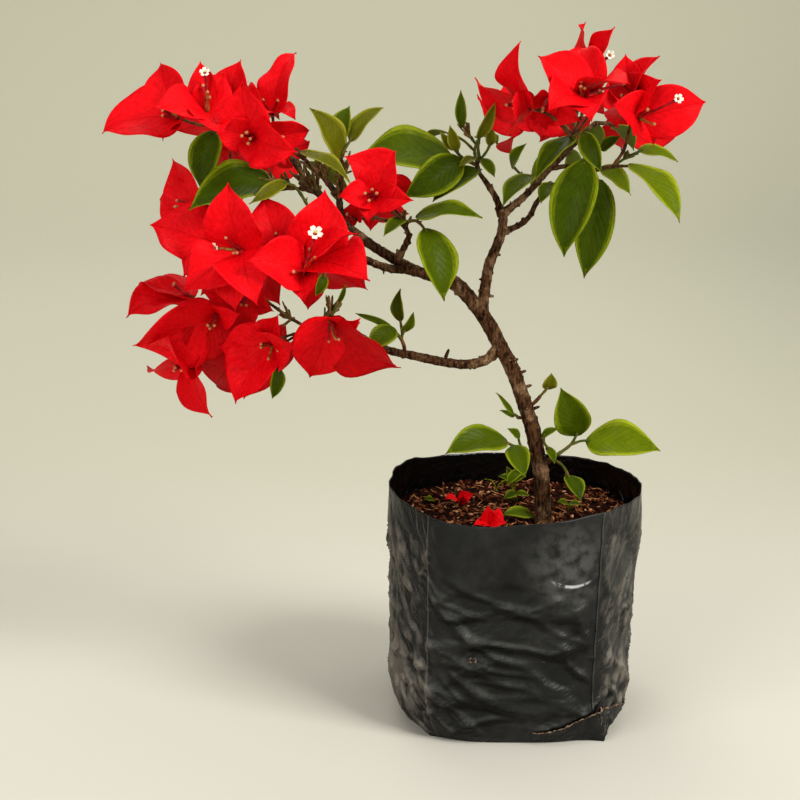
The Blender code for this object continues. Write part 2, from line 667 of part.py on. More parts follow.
def make_mass(name, mass, material, limb_tree, obstacles):
    """Twigs, leaves and blooms joined into one solid. What would touch a limb or another mass, cross
    a blade that is there already, or leave this mass's reach, is skipped."""
    foot, heading = stem_start(mass, limb_tree)

    def fits(mesh):
        inside = all((vert.co - foot).length < mass.reach * MM for vert in mesh.vertices)
        swollen = tree_of(mesh, CLEARANCE)
        return inside and not any(swollen.overlap(obstacle) for obstacle in obstacles)

    grown = growths(mass, foot)
    twigs = Twigs(foot, heading, mass.seed, mass.stem)
    middle = sum((growth.goal for growth in grown), Vector()) / len(grown)
    stem_end = foot.lerp(middle, STEM_SHARE)
    twigs.add(0, twigs.route_to(0, stem_end, (stem_end - foot).normalized()), 0.0)
    kept, kept_trees = [], []
    for growth in grown:
        trees = [tree_of(blade) for blade in growth.blades]
        pairs = [(blade, tree) for blade, tree in zip(growth.blades, trees)
                 if fits(blade) and not any(tree.overlap(other) for other in kept_trees)]
        starts = twigs.starts_for(growth.goal)
        routes = [(start, twigs.route_to(start, growth.goal, growth.arrival)) for start in starts]
        routes = [(start, route) for start, route in routes if fits(thin_tube(route))]
        if pairs and routes:
            start, route = min(routes, key=lambda found: crossings(found[1], kept_trees))
            twigs.add(start, route, growth.radius)
            kept += [blade for blade, _ in pairs]
            kept_trees += [tree for _, tree in pairs]
    stem, *others = twigs.meshes()
    shape = add_object(name, stem, material)
    # thin blades that lean on each other leave the exact solver with sealed slivers
    combine(shape, others + kept, "UNION", solver="MANIFOLD")
    keep_largest_body(shape)
    drop_slivers(shape)
    return shape


def build():
    for leftover in list(bpy.data.objects):
        bpy.data.objects.remove(leftover)
    film = make_material("black film", (0.012, 0.012, 0.013), 0.3)
    coir = make_material("coir", (0.06, 0.022, 0.012), 0.95)
    bark = make_material("bark", (0.13, 0.075, 0.05), 0.85)
    red = make_material("red bracts", (0.75, 0.012, 0.02), 0.55)
    green = make_material("green leaves", (0.1, 0.22, 0.03), 0.5)

    foot = metres(LIMBS["trunk"][0][0])
    solids = [make_bag(film), make_compost(coir, foot)]
    solids += [make_limb(name, bark) for name in LIMBS]
    limbs = {solid.name: tree_of(solid.data) for solid in solids}
    obstacles = list(limbs.values())
    for name, mass in MASSES.items():
        solid = make_mass(name, mass, red if mass.blooms else green, limbs[mass.limb], obstacles)
        obstacles.append(tree_of(solid.data))


build()
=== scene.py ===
import math
import random
from collections import namedtuple

import bmesh
import bpy
from mathutils import Matrix, Vector, geometry, noise
from mathutils.bvhtree import BVHTree


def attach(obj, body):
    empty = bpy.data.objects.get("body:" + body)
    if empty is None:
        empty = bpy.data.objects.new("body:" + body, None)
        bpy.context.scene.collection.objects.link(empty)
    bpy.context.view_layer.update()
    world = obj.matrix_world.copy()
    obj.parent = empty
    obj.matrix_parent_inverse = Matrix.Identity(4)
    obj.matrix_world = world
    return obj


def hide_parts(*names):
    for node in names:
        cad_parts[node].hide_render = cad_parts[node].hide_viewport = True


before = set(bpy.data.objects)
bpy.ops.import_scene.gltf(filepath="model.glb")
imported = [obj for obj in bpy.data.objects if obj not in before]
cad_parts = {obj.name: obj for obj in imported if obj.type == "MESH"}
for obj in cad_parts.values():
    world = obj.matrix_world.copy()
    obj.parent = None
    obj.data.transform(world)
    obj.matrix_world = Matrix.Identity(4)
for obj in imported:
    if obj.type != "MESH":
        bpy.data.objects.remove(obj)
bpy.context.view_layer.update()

# ================================================================ studio
# A seamless pale sweep of painted board, a large soft lamp high on the right, weaker ones on the left,
# above and behind, and a long lens that looks down a little. None of it is part of the plant.

MM = 0.001  # tables are in millimetres: right, back and up from the bag's underside
WELD_DISTANCE = 1e-6
FULL_TURN = 6.28  # radians, the most that a side chosen at random is turned


def metres(point):
    return Vector(point) * MM


def add_sheet(bm, columns, rows, place):
    """A grid of faces. place gives each corner from how far across and along the sheet it is, 0 to 1."""
    sheet = bmesh.ops.create_grid(bm, x_segments=columns, y_segments=rows, size=0.5, calc_uvs=True)
    for vert in sheet["verts"]:
        vert.co = place(vert.co.x + 0.5, vert.co.y + 0.5)
    return sheet["verts"]


def new_shape():
    """An empty bmesh whose sheets get texture coordinates."""
    bm = bmesh.new()
    bm.loops.layers.uv.new("UVMap")
    return bm


def make_piece(name, bm, *finishes):
    """A smooth-shaded object from a bmesh, with its materials in order."""
    mesh = bpy.data.meshes.new(name)
    for face in bm.faces:
        face.smooth = True
    bm.to_mesh(mesh)
    bm.free()
    for finish in finishes:
        mesh.materials.append(finish.material)
    piece = bpy.data.objects.new(name, mesh)
    bpy.context.scene.collection.objects.link(piece)
    return piece


def thicken(piece, millimetres, offset=0, back_finishes=0):
    """Makes a sheet solid. back_finishes is how many finishes on in its list the back's ones stand."""
    solid = piece.modifiers.new("thickness", "SOLIDIFY")
    solid.thickness, solid.offset, solid.material_offset = millimetres * MM, offset, back_finishes


def weld(bm):
    """Joins the edges of a sheet that meet, and the corners that fall together at a tip."""
    bmesh.ops.remove_doubles(bm, verts=bm.verts, dist=WELD_DISTANCE)


class Value:
    """A number that a material's node gives. Sums with it add Math nodes."""

    def __init__(self, finish, socket):
        self.finish, self.socket = finish, socket

    def maths(self, operation, *others):
        return self.finish.node("Math", {"operation": operation}, {0: self, **dict(enumerate(others, 1))})

    def __add__(self, other):
        return self.maths("ADD", other)

    def __mul__(self, other):
        return self.maths("MULTIPLY", other)

    def __sub__(self, other):
        return self.maths("SUBTRACT", other)

    def __rsub__(self, other):
        return self.finish.node("Math", {"operation": "SUBTRACT"}, {0: other, 1: self})

    __radd__, __rmul__ = __add__, __mul__

    def between(self, low, high):
        """0 below low, 1 above high, and smooth in between. With low above high it falls."""
        return self.finish.node("MapRange", {"interpolation_type": "SMOOTHSTEP"},
                                {"Value": self, "From Min": low, "From Max": high})


class Finish:
    """One material on the Principled shader. What isn't given stays the same all over."""

    def __init__(self, name, colour, roughness, **constants):
        self.material = bpy.data.materials.new(name)
        self.material.use_nodes = True
        self.tree = self.material.node_tree
        self.surface = self.tree.nodes["Principled BSDF"]
        self.set("Base Color", (*colour, 1))
        self.set("Roughness", roughness)
        for socket, number in constants.items():
            self.set(socket.replace("_", " "), number)

    def set(self, socket, value, node=None):
        socket = (node or self.surface).inputs[socket]
        if isinstance(value, Value):
            self.tree.links.new(value.socket, socket)
        else:
            socket.default_value = value

    def node(self, kind, settings=None, inputs=None, output=0):
        """Adds a node: its settings first, then the values or links of its sockets."""
        node = self.tree.nodes.new("ShaderNode" + kind)
        for name, setting in (settings or {}).items():
            setattr(node, name, setting)
        for socket, value in (inputs or {}).items():
            self.set(socket, value, node)
        return Value(self, node.outputs[output])

    def object_coordinates(self):
        return self.node("TexCoord", output="Object")

    def across_and_along(self):
        """The two texture coordinates of a sheet, each from 0 to 1."""
        coordinates = self.node("TexCoord", output="UV")
        return tuple(self.node("SeparateXYZ", {}, {0: coordinates}, output) for output in (0, 1))

    def counted(self, size_mm, stretch):
        """Object coordinates, counted in lumps of size_mm that are longer along an axis by its stretch."""
        scale = [1 / (size_mm * MM * axis) for axis in stretch]
        return self.node("Mapping", {}, {"Vector": self.object_coordinates(), "Scale": scale})

    def noise(self, size_mm, detail=3.0, roughness=0.55, stretch=(1, 1, 1)):
        """Cloudy noise whose lumps are about size_mm across, about 0.5 on average."""
        return self.node("TexNoise", {}, {"Vector": self.counted(size_mm, stretch), "Scale": 1.0,
                                          "Detail": detail, "Roughness": roughness})

    def cells(self, size_mm, stretch=(1, 1, 1)):
        """How far off the nearest seed is. Seeds are about size_mm apart."""
        place = self.counted(size_mm, stretch)
        return self.node("TexVoronoi", {}, {"Vector": place, "Scale": 1.0}, "Distance")

    def blend(self, share, below, above):
        """Two colours, or a colour and a link, mixed by share."""
        def colour(value):
            return value if isinstance(value, Value) else (*value, 1)
        return self.node("Mix", {"data_type": "RGBA"}, {0: share, 6: colour(below), 7: colour(above)}, 2)

    def bump(self, height, depth_mm, strength=1.0):
        """Relief: height from 0 to 1 stands for depth_mm."""
        self.set("Normal", self.node(
            "Bump", {}, {"Height": height, "Distance": depth_mm * MM, "Strength": strength}))


def mottled(name, roughness, specular, cloud, low, high, below, above):
    """A finish whose colour wanders between two. cloud is the noise's size in millimetres, detail and
    maybe roughness; the blend runs from low to high in it."""
    finish = Finish(name, above, roughness, Specular_IOR_Level=specular)
    finish.set("Base Color", finish.blend(finish.noise(*cloud).between(low, high), below, above))
    return finish


CAMERA_DISTANCE, CAMERA_PITCH = 1.3, math.radians(15)
LOOKED_AT = metres((-63.3, 0, 174.6))
LENS, SENSOR = 106.38, 36.0

camera = bpy.data.objects.new("camera", bpy.data.cameras.new("camera"))
camera.data.lens, camera.data.sensor_width = LENS, SENSOR
camera.location = LOOKED_AT + CAMERA_DISTANCE * Vector((0, -math.cos(CAMERA_PITCH), math.sin(CAMERA_PITCH)))
camera.rotation_euler = (math.pi / 2 - CAMERA_PITCH, 0, 0)
bpy.context.scene.collection.objects.link(camera)
bpy.context.scene.camera = camera
bpy.context.scene.view_settings.view_transform = "Standard"


def add_lamp(name, place, size, power, colour):
    """A square soft lamp that looks at the plant."""
    lamp = bpy.data.objects.new(name, bpy.data.lights.new(name, "AREA"))
    lamp.data.size, lamp.data.energy, lamp.data.color = size, power, colour
    lamp.location = place
    lamp.rotation_euler = (LOOKED_AT - lamp.location).to_track_quat("-Z", "Y").to_euler()
    bpy.context.scene.collection.objects.link(lamp)


add_lamp("key_lamp", (2.2, -1.6, 2.2), 1.5, 112, (1.0, 0.98, 0.95))
add_lamp("fill_lamp", (-2.0, -2.2, 1.4), 2.6, 52, (1.0, 1.0, 0.98))
add_lamp("top_lamp", (0.0, 0.3, 3.0), 3.0, 40, (0.98, 1.0, 0.98))
add_lamp("back_lamp", (-0.5, 1.4, 1.6), 1.0, 8, (1.0, 1.0, 0.97))

world = bpy.data.worlds.new("room light")
bpy.context.scene.world = world
world.use_nodes = True
world.node_tree.nodes["Background"].inputs["Color"].default_value = (0.95, 0.97, 0.93, 1)
world.node_tree.nodes["Background"].inputs["Strength"].default_value = 0.2

SWEEP_WIDTH, SWEEP_FRONT, SWEEP_BEND, SWEEP_RADIUS, SWEEP_TOP = 9.0, -4.0, 1.4, 1.2, 3.5


def sweep_point(across, along):
    """The board lies flat, bends up behind the plant and stands."""
    flat, curve = SWEEP_BEND - SWEEP_FRONT, SWEEP_RADIUS * math.pi / 2
    travelled = along * (flat + curve + SWEEP_TOP)
    x = (across - 0.5) * SWEEP_WIDTH
    if travelled < flat:
        return Vector((x, SWEEP_FRONT + travelled, 0))
    turn = min((travelled - flat) / SWEEP_RADIUS, math.pi / 2)
    wall = max(0.0, travelled - flat - curve)
    return Vector((x, SWEEP_BEND + SWEEP_RADIUS * math.sin(turn), SWEEP_RADIUS * (1 - math.cos(turn)) + wall))


board = Finish("pale board", (0.70, 0.68, 0.575), 0.9, Specular_IOR_Level=0.1)
# the board's colour darkens toward the back, up the wall and toward the right: painted shade where the lamps'
# light falls off
place = board.object_coordinates()
to_right, to_back = (board.node("SeparateXYZ", {}, {0: place}, axis) for axis in (0, 1))
board_colour_with_shade = board.blend(to_back.between(-0.1, 0.6), (0.62, 0.595, 0.517), (0.515, 0.498, 0.393))
board_colour_with_shade = board.blend(to_back.between(1.0, 2.1), board_colour_with_shade, (0.505, 0.49, 0.37))
# edge is painted shade, darker toward the right, weaker up the wall
edge = to_right.between(0.02, 0.75) * to_back.between(-0.1, 0.8) * (1 - to_back.between(1.1, 2.1) * 0.6)
board.set("Base Color", board.blend(edge * 0.8, board_colour_with_shade, (0.275, 0.268, 0.208)))
shape = new_shape()
add_sheet(shape, 8, 96, sweep_point)
floor = make_piece("floor", shape, board)

# ================================================================ bag
# A nursery bag of thin black polythene, a gusseted tube that is heat-sealed across its foot. Filled,
# it stands on a nearly square foot with its corners folded up, and its gussets stay crumpled.

# (height, half-width, half-depth, how far to the right its middle is)
BAG_PROFILE = (
    (0.0, 56.0, 66.0, -2.0), (4.0, 60.0, 69.0, -2.0), (10.0, 63.5, 70.8, -2.0), (22.0, 66.0, 71.0, -2.0),
    (55.0, 66.3, 70.5, -1.5), (108.0, 69.2, 70.3, 0.3), (126.0, 70.2, 70.2, 0.9))
FOOT_SQUARENESS, RIM_SQUARENESS = 3.0, 2.1
RIM_WAVES = ((1, 0.7, -1.7), (2, 2.2, 2.3), (3, 1.1, -1.6))
BAG_COLUMNS, BAG_ROWS = 420, 112
BAG_GIRTH = 428.0
FILM_THICKNESS = 0.35
# the four pressed folds between the flat front and back and the gussets: turn in degrees, at rim and foot
FOLDS = ((226.0, 233.5), (307.6, 301.0), (47.0, 54.0), (133.0, 126.0))


def bag_section(height):
    """The bag's half-width and half-depth at a height, and how far to the right its middle is."""
    low, high = next(pair for pair in zip(BAG_PROFILE, BAG_PROFILE[1:]) if height <= pair[1][0] + 0.01)
    share = (height - low[0]) / (high[0] - low[0])
    return [below + share * (above - below) for below, above in zip(low[1:], high[1:])]


def bag_point(turn, height, inset=0.0):
    """A place on the bag, in millimetres. turn is anticlockwise from the right, as seen from above."""
    half_width, half_depth, middle = bag_section(height)
    rise = height / BAG_PROFILE[-1][0]
    power = 2 / (FOOT_SQUARENESS + rise * (RIM_SQUARENESS - FOOT_SQUARENESS))
    right = math.copysign(abs(math.cos(turn)) ** power, math.cos(turn)) * (half_width - inset)
    back = math.copysign(abs(math.sin(turn)) ** power, math.sin(turn)) * (half_depth - inset)
    lift = sum(amount * math.sin(waves * turn + phase) for waves, amount, phase in RIM_WAVES)
    return Vector((middle + right, back, height + lift * max(0.0, rise * 2 - 1) ** 2))


# a crease runs from one (turn in degrees, height) to another and stands this high, in millimetres,
# with flanks this wide: a negative height is a valley
CREASES = [
    ((230, 88), (250, 66), 1.5, 2.6), ((250, 66), (255, 54), 1.6, 2.0), ((232, 72), (252, 55), -1.3, 2.2),
    ((240, 78), (262, 71), 1.5, 2.2), ((262, 71), (286, 83), 1.3, 2.4), ((262, 71), (276, 66), -1.0, 2.2),
    ((248, 63), (280, 52), 1.7, 2.4), ((280, 52), (296, 56), 1.2, 2.0), ((254, 55), (272, 50), -1.2, 2.0),
    ((238, 47), (272, 41), 1.2, 2.4), ((256, 48.6), (263, 44), 0.9, 1.0), ((258, 62), (290, 62), 0.8, 1.8),
    ((281.6, 90), (289, 87.5), 1.1, 0.8), ((289, 87.5), (299, 90.5), 1.2, 0.8),
    ((270, 74), (300, 69), 0.8, 2.2), ((197.6, 45.6), (229.6, 40.8), 2.0, 2.0),
    ((199, 52), (216, 30), 2.1, 2.2), ((193, 38), (222, 12), 2.3, 2.4),
    ((205, 44), (232, 22), 1.9, 2.0), ((216, 30), (246, 6), 2.0, 2.4), ((226, 34), (252, 12), 1.7, 2.2),
    ((203, 22), (236, 3), -1.9, 2.6), ((238, 30), (270, 20), 1.3, 2.4), ((244, 22), (262, 16), -1.1, 2.4),
    ((262, 12), (292, 7), 1.2, 3.0), ((240, 36), (252, 26), 1.1, 1.4), ((276, 9), (300, 17), 1.4, 1.6),
    ((300, 17), (312, 26), 1.6, 1.8), ((312, 30), (330, 14), 1.7, 2.2), ((318, 44), (342, 22), 1.5, 2.0)]
# more of them in bands: first and last turn, lowest and highest place, number, lean, height
CREASE_BANDS = (
    (138, 226, 26, 118, 60, 1.2, 1.3), (150, 232, 4, 45, 34, 0.9, 1.7), (312, 405, 14, 118, 60, -1.2, 1.2),
    (232, 302, 8, 66, 16, 0.25, 0.8), (45, 135, 8, 112, 50, 0.4, 0.7), (45, 135, 3, 40, 26, 0.9, 1.2))
CREASE_REACH = 4  # a crease is felt this many of its widths away
SECTORS = 72
CORNERS = ((309.5, 12.0), (130, 10.0), (228, 3.0))  # where the foot's corners stick out: turn, how far

rng = random.Random(3)
for first, last, low, high, number, lean, height in CREASE_BANDS:
    for _ in range(number):
        turn, level = rng.uniform(first, last), rng.uniform(low, high)
        reach, slope = rng.uniform(4, 15), lean * rng.uniform(0.5, 2.2)
        across = reach / math.hypot(1, slope)
        amount = rng.choice((-1, 1, 1)) * height * rng.uniform(0.35, 1.0)
        CREASES.append(((turn, level), (turn + across * 360 / BAG_GIRTH, level - across * slope),
                        amount, rng.uniform(0.8, 1.8)))

creases_by_sector = {sector: [] for sector in range(SECTORS)}
for crease in CREASES:
    (start_turn, _), (end_turn, _), _, width = crease
    spare = CREASE_REACH * width * 360 / BAG_GIRTH + 4
    first = math.floor((min(start_turn, end_turn) - spare) * SECTORS / 360)
    last = math.floor((max(start_turn, end_turn) + spare) * SECTORS / 360)
    for sector in {index % SECTORS for index in range(first, last + 1)}:
        creases_by_sector[sector].append(crease)


def crease_relief(turn, height):
    """How far the film stands out at a place, summed over the creases near it."""
    total, scale = 0.0, BAG_GIRTH / 360
    sector = int(turn * SECTORS / 360) % SECTORS
    for (start_turn, start), (end_turn, end), amount, width in creases_by_sector[sector]:
        run, rise = (end_turn - start_turn) * scale, end - start
        x, y = ((turn - start_turn + 180) % 360 - 180) * scale, height - start
        length = math.hypot(run, rise)
        share = (x * run + y * rise) / length ** 2
        beside = abs(x * rise - y * run) / length
        if -0.2 < share < 1.2 and beside < CREASE_REACH * width:
            total += amount * min(1.0, (share + 0.2) * 3, (1.2 - share) * 3) * math.exp(-beside / width)
    return total


def ridges(turn, height, lean, across, along, seed):
    """Sharp parallel folds, 0 in their valleys and 1 on their crests. lean is how far they drop in
    millimetres for each millimetre they go anticlockwise; across and along are their sizes."""
    arc, slant = turn * BAG_GIRTH / 360, math.atan(lean)
    over = height * math.cos(slant) + arc * math.sin(slant)
    down = arc * math.cos(slant) - height * math.sin(slant)
    bent = over + 2.2 * noise.noise(Vector((arc / 26, height / 26, seed + 3.7)))
    return 1 - min(1.0, 3.2 * abs(noise.noise(Vector((bent / across, down / along, seed)))))


# the left gusset's, the right gusset's and the flat walls' folds: (height, then what ridges takes), and
# how deep their valleys lie
WALL_FOLDS = (
    (((2.5, 1.5, 9, 32, 11), (1.0, 1.1, 4.6, 15, 12)), 1.4),
    (((2.2, -2.0, 8, 34, 13), (0.9, -1.3, 4.4, 14, 14)), 1.3),
    (((2.2, 0.75, 19, 60, 15), (1.4, -0.35, 15, 60, 16), (0.6, 0.2, 7, 30, 17)), 1.9))


# stretches of the bag's side, in degrees: from, to, and over how much they end
LEFT_GUSSET, RIGHT_GUSSET = ((140, 224, 7),), ((312, 420, 7), (-60, 40, 7))
FLAT_WALLS = ((233, 296, 6), (54, 120, 6))
FLAT_BAND = (12, 80, 14)  # the heights between which the flat walls are creased


def hump(value, low, high, soft):
    """1 between low and high, falling to 0 over soft on either side."""
    return max(0.0, min(1.0, (value - low) / soft + 1, (high - value) / soft + 1))


def within(turn, stretches):
    """1 where a turn is in one of the stretches, and less near their ends."""
    return max(hump(turn, *stretch) for stretch in stretches)


def film_relief(turn, height):
    """How far the film stands out of the plain bag, in millimetres."""
    turn %= 360
    rise = height / BAG_PROFILE[-1][0]
    relief = crease_relief(turn, height) + 0.9 * noise.noise(Vector((turn / 26, height / 34, 5)))
    left, right = within(turn, LEFT_GUSSET), within(turn, RIGHT_GUSSET)
    crumpled = 1 - 0.5 * max(0.0, (height - 95) / 31)
    flat = within(turn, FLAT_WALLS) * hump(height, *FLAT_BAND)
    for share, (folds, depth) in zip((left * crumpled, right * crumpled, flat), WALL_FOLDS):
        if share:
            relief += share * (sum(amount * ridges(turn, height, *fold) for amount, *fold in folds) - depth)
    for at_rim, at_foot in FOLDS:
        away = ((turn - at_foot - (at_rim - at_foot) * rise + 180) % 360 - 180) * BAG_GIRTH / 360
        relief += 1.0 * math.exp(-abs(away) / 0.8)
    return max(-0.7, relief * min(1.0, height / 3) * (1 - 0.9 * max(0.0, min(1.0, (height - 106) / 17))))


def on_film(turn, height, proud=0.0, relief=None):
    """A place on the creased film, or proud of it, in metres. turn is in degrees."""
    place = bag_point(math.radians(turn), height)
    outward = (bag_point(math.radians(turn + 1), height) - place).cross(UP).normalized()
    relief = film_relief(turn, height) if relief is None else relief
    near_rim = max(0.0, (height - 106) / 20) ** 2  # the rim is cut unevenly and sags between its bends
    round_it = Vector((math.cos(math.radians(turn)), math.sin(math.radians(turn)), 0))
    place.z += near_rim * (1.3 * noise.noise(round_it * 4.3) + 0.3 * noise.noise(round_it * 11))
    for at, reach in CORNERS:
        away = abs((turn - at + 180) % 360 - 180)
        proud += reach * math.exp(-away / 6.5) * max(0.0, 1 - height / 20) ** 1.5
    sag = 1.6 * noise.noise(round_it * 3.1 + UP * 4) - abs(noise.noise(round_it * 6.3 + UP * 9))
    return (place + outward * (relief + near_rim * sag + proud)) * MM


UP = Vector((0, 0, 1))

film = Finish("black polythene", (0.004, 0.004, 0.004), 0.26, Specular_IOR_Level=0.14)
place = film.object_coordinates()
to_right, to_back, up = (film.node("SeparateXYZ", {}, {0: place}, axis) for axis in range(3))
gusset = to_right.maths("ABSOLUTE").between(0.043, 0.051)
crest, upward = (film.node("Attribute", {"attribute_name": name}, {}, 2) for name in ("relief", "upward"))


def sharp_folds(finish, size_mm, turned, roughness=0.45):
    """Fine crumpling: 0 along each crease, rising evenly on both sides. size_mm is along the turned axes."""
    place = finish.node("Mapping", {"vector_type": "TEXTURE"}, {
        "Vector": finish.object_coordinates(), "Rotation": turned, "Scale": [size * MM for size in size_mm]})
    cloud = finish.node("TexNoise", {}, {
        "Vector": place, "Scale": 1.0, "Detail": 2.0, "Roughness": roughness})
    return ((cloud - 0.5).maths("ABSOLUTE") * 5).maths("MINIMUM", 1.0)


steep = sharp_folds(film, (6, 12, 2.6), (math.radians(56), 0, 0), 0.6)
level = sharp_folds(film, (15, 12, 5), (0, math.radians(-28), 0), 0.65)
low_down = up.between(0.092, 0.066)
flat_relief = level * low_down * 0.42 + film.noise(1.6, 4) * 0.07
film.bump(gusset * steep * 0.35 + (1 - gusset) * flat_relief, 1.2, 0.8)

# a pale grey patch high on the front, a pale scuff with a painted highlight under it, and dark film
# elsewhere, painted paler where it faces up
from_patch = film.node("Mapping", {}, {"Vector": place, "Location": (-0.028, 0.066, -0.101)})
# how far a place is from the middle of the pale patch
patch_distance = film.node("VectorMath", {"operation": "LENGTH"}, {0: from_patch}, "Value")
haze = patch_distance.between(0.034, 0.004) * film.noise(7, 5).between(0.30, 0.62)
bloom = film.noise(19, 5).between(0.45, 0.74) * (1 - gusset)
# the pale scuff line is partly a real scuff and partly a painted highlight along its crease
scuff_highlight_line = ((to_right - 0.030) * (to_right - 0.030) * 24 + 0.0893 - up).maths("ABSOLUTE")
scuff_and_highlight = (scuff_highlight_line.between(0.0011, 0.0003) * to_right.between(0.016, 0.022)
         * to_right.between(0.0395, 0.0355) * to_back.between(-0.03, -0.04)
         * film.noise(3, 3).between(0.36, 0.5))
cloudy = film.noise(15, 4)
# the gussets' folds are painted pale on their crests: partly rubbed dust, partly painted highlights
streaks = sharp_folds(film, (9, 30, 5.5), (math.radians(56), 0, 0), 0.35).between(0.32, 0.04)
dust_and_highlight_marks = crest.between(0.4, 2.0) * 0.45 + upward.between(0.1, 0.8) * 0.35 + streaks * 0.22
gusset_dust_and_highlight = gusset * dust_and_highlight_marks * cloudy.between(0.30, 0.52)
specks = film.cells(3.4).between(0.10, 0.04) * film.noise(9).between(0.52, 0.62)
across, along = film.across_and_along()
# facets that face up are painted paler and those that face down darker: partly dust, partly painted light
# from above
tone = film.blend(upward.between(-0.30, 0.10), (0.0003, 0.0003, 0.0003), (0.0098, 0.0100, 0.0090))
# paler tones laid over it: dust and painted light on up-facing facets, then the pale patch and broad clouds
for share, dust_and_painted_light in (
        (upward.between(0.05, 0.6) * film.noise(8, 5, 0.65).between(0.3, 0.6) * 0.8, (0.050, 0.050, 0.045)),
        (haze * 0.85 + bloom * 0.2, (0.072, 0.072, 0.065)),
        # the right gusset painted paler: a painted reflection of the lamp on the right
        (gusset * to_right.between(0.03, 0.06) * cloudy.between(0.3, 0.6) * 0.3, (0.110, 0.106, 0.094))):
    tone = film.blend(share, tone, dust_and_painted_light)
# each pressed fold is painted with a line of shade and a painted highlight line beside it
for at_rim, at_foot in FOLDS:
    foot, lean = ((at_foot - 90) % 360) / 360, (at_rim - at_foot) / 360
    beside = across - foot - along * lean
    painted_highlight_line = (beside - 0.0012).maths("ABSOLUTE").between(0.0014, 0.0004)
    painted_shade_line = (beside + 0.0010).maths("ABSOLUTE").between(0.0014, 0.0006)
    tone = film.blend(painted_highlight_line * 0.55, tone, (0.085, 0.082, 0.072))
    tone = film.blend(painted_shade_line * 0.9, tone, (0.0008, 0.0008, 0.0007))
# the gussets' pale crests: dust and painted highlights
tone = film.blend(gusset_dust_and_highlight, tone, (0.215, 0.185, 0.148))
tone = film.blend(specks * 0.5, tone, (0.20, 0.16, 0.12))
film.set("Base Color", film.blend(scuff_and_highlight * 0.75, tone, (0.55, 0.56, 0.54)))
film.set("Roughness", haze * 0.25 + film.noise(16, 3) * 0.14 + gusset_dust_and_highlight * 0.15 + (1 - gusset) * 0.07 + 0.24)

film_inside = Finish("black polythene inside", (0.0012, 0.0012, 0.0011), 0.25, Specular_IOR_Level=0.4)
film_inside.bump(sharp_folds(film_inside, (15, 12, 9), (0, math.radians(-28), 0), 0.65), 1.2, 0.4)

shape = new_shape()
crest_layer = shape.verts.layers.float.new("relief")
reliefs = []


def film_place(across, along):
    """The seam of the sheet is at the back."""
    turn, height = 90.0 + 360.0 * across, along * BAG_PROFILE[-1][0]
    reliefs.append(film_relief(turn, height))
    return on_film(turn, height, relief=reliefs[-1])


upward_layer = shape.verts.layers.float.new("upward")
for number, vert in enumerate(add_sheet(shape, BAG_COLUMNS, BAG_ROWS, film_place)):
    below, above = max(0, number - BAG_COLUMNS - 1), min(len(reliefs) - 1, number + BAG_COLUMNS + 1)
    vert[crest_layer] = reliefs[number]
    vert[upward_layer] = (reliefs[below] - reliefs[above]) * BAG_ROWS / BAG_PROFILE[-1][0] / 2
weld(shape)
foot = [edge for edge in shape.edges if edge.is_boundary and edge.verts[0].co.z < 1e-3 > edge.verts[1].co.z]
bmesh.ops.holes_fill(shape, edges=foot, sides=0)
bmesh.ops.recalc_face_normals(shape, faces=shape.faces)
bag = make_piece("bag_film", shape, film, film_inside)
thicken(bag, FILM_THICKNESS, -1, 1)
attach(bag, "root")
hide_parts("bag")

# ================================================================ folded corners
# The sealed foot's corners stick out as ears, and are folded up flat against the bag. Each ends in the
# ragged heat seal, where melted film has dried tan with soil. Drain holes were punched front and back.

# the seal's (turn, height), from one end to the other, on the near right and the far left
SEALS = (((274, 7), (286, 10.5), (298, 15.5), (314, 17), (330, 15), (341, 12)),
         ((94, 6), (108, 10), (122, 14), (138, 15), (152, 13), (162, 10)))
EAR_PROUD = 0.9
# (turn, height, radius)
DRAIN_HOLES = ((256.0, 48.6, 1.9), (278.0, 48.0, 0.6), (70.0, 47.0, 1.9), (104.0, 49.0, 2.2))
HOLE_FLATNESS = 0.62
SEAL_STEPS = 70
STRAND_START = 0.52  # the share of the seal where its melted end hangs down
STRAND_RADII = (0.5, 0.9, 1.1, 0.8, 0.4, 0.3, 0.35, 0.25, 0.3, 0.2)


def along_seal(seal, share):
    """The (turn, height) a share of the way along a seal."""
    step = min(len(seal) - 2, int(share * (len(seal) - 1)))
    part = share * (len(seal) - 1) - step
    return [start + part * (stop - start) for start, stop in zip(seal[step], seal[step + 1])]


def ear_point(seal):
    """A sheet from the ground up to the seal, standing off the bag, its upper edge a little curled."""
    def place(across, along):
        turn, top = along_seal(seal, across)
        height = 0.6 + (top - 0.6) * along
        ends = min(1.0, across * 8, (1 - across) * 8)
        waves = 0.5 * noise.noise(Vector((across * 7, along * 2, seal[0][0])))
        return on_film(turn, height, (EAR_PROUD * (0.5 + 0.7 * along ** 2) + waves) * ends + 0.25)
    return place


def smooth_route(points, spacing):
    """Points about spacing apart on a smooth curve that passes through all the given ones."""
    ends = [2 * points[0] - points[1], *points, 2 * points[-1] - points[-2]]
    route = []
    for before, start, stop, after in zip(ends, ends[1:], ends[2:], ends[3:]):
        leaving, arriving = start + (stop - before) / 6, stop - (after - start) / 6
        count = max(2, round((stop - start).length / spacing) + 1)
        route += geometry.interpolate_bezier(start, leaving, arriving, stop, count)[:-1]
    return route + [points[-1]]


def add_part(bm, part):
    """Moves a small shape into a joined one, because operators are slow on a large shape."""
    mesh = bpy.data.meshes.new("part")
    part.to_mesh(mesh)
    part.free()
    bm.from_mesh(mesh)
    bpy.data.meshes.remove(mesh)


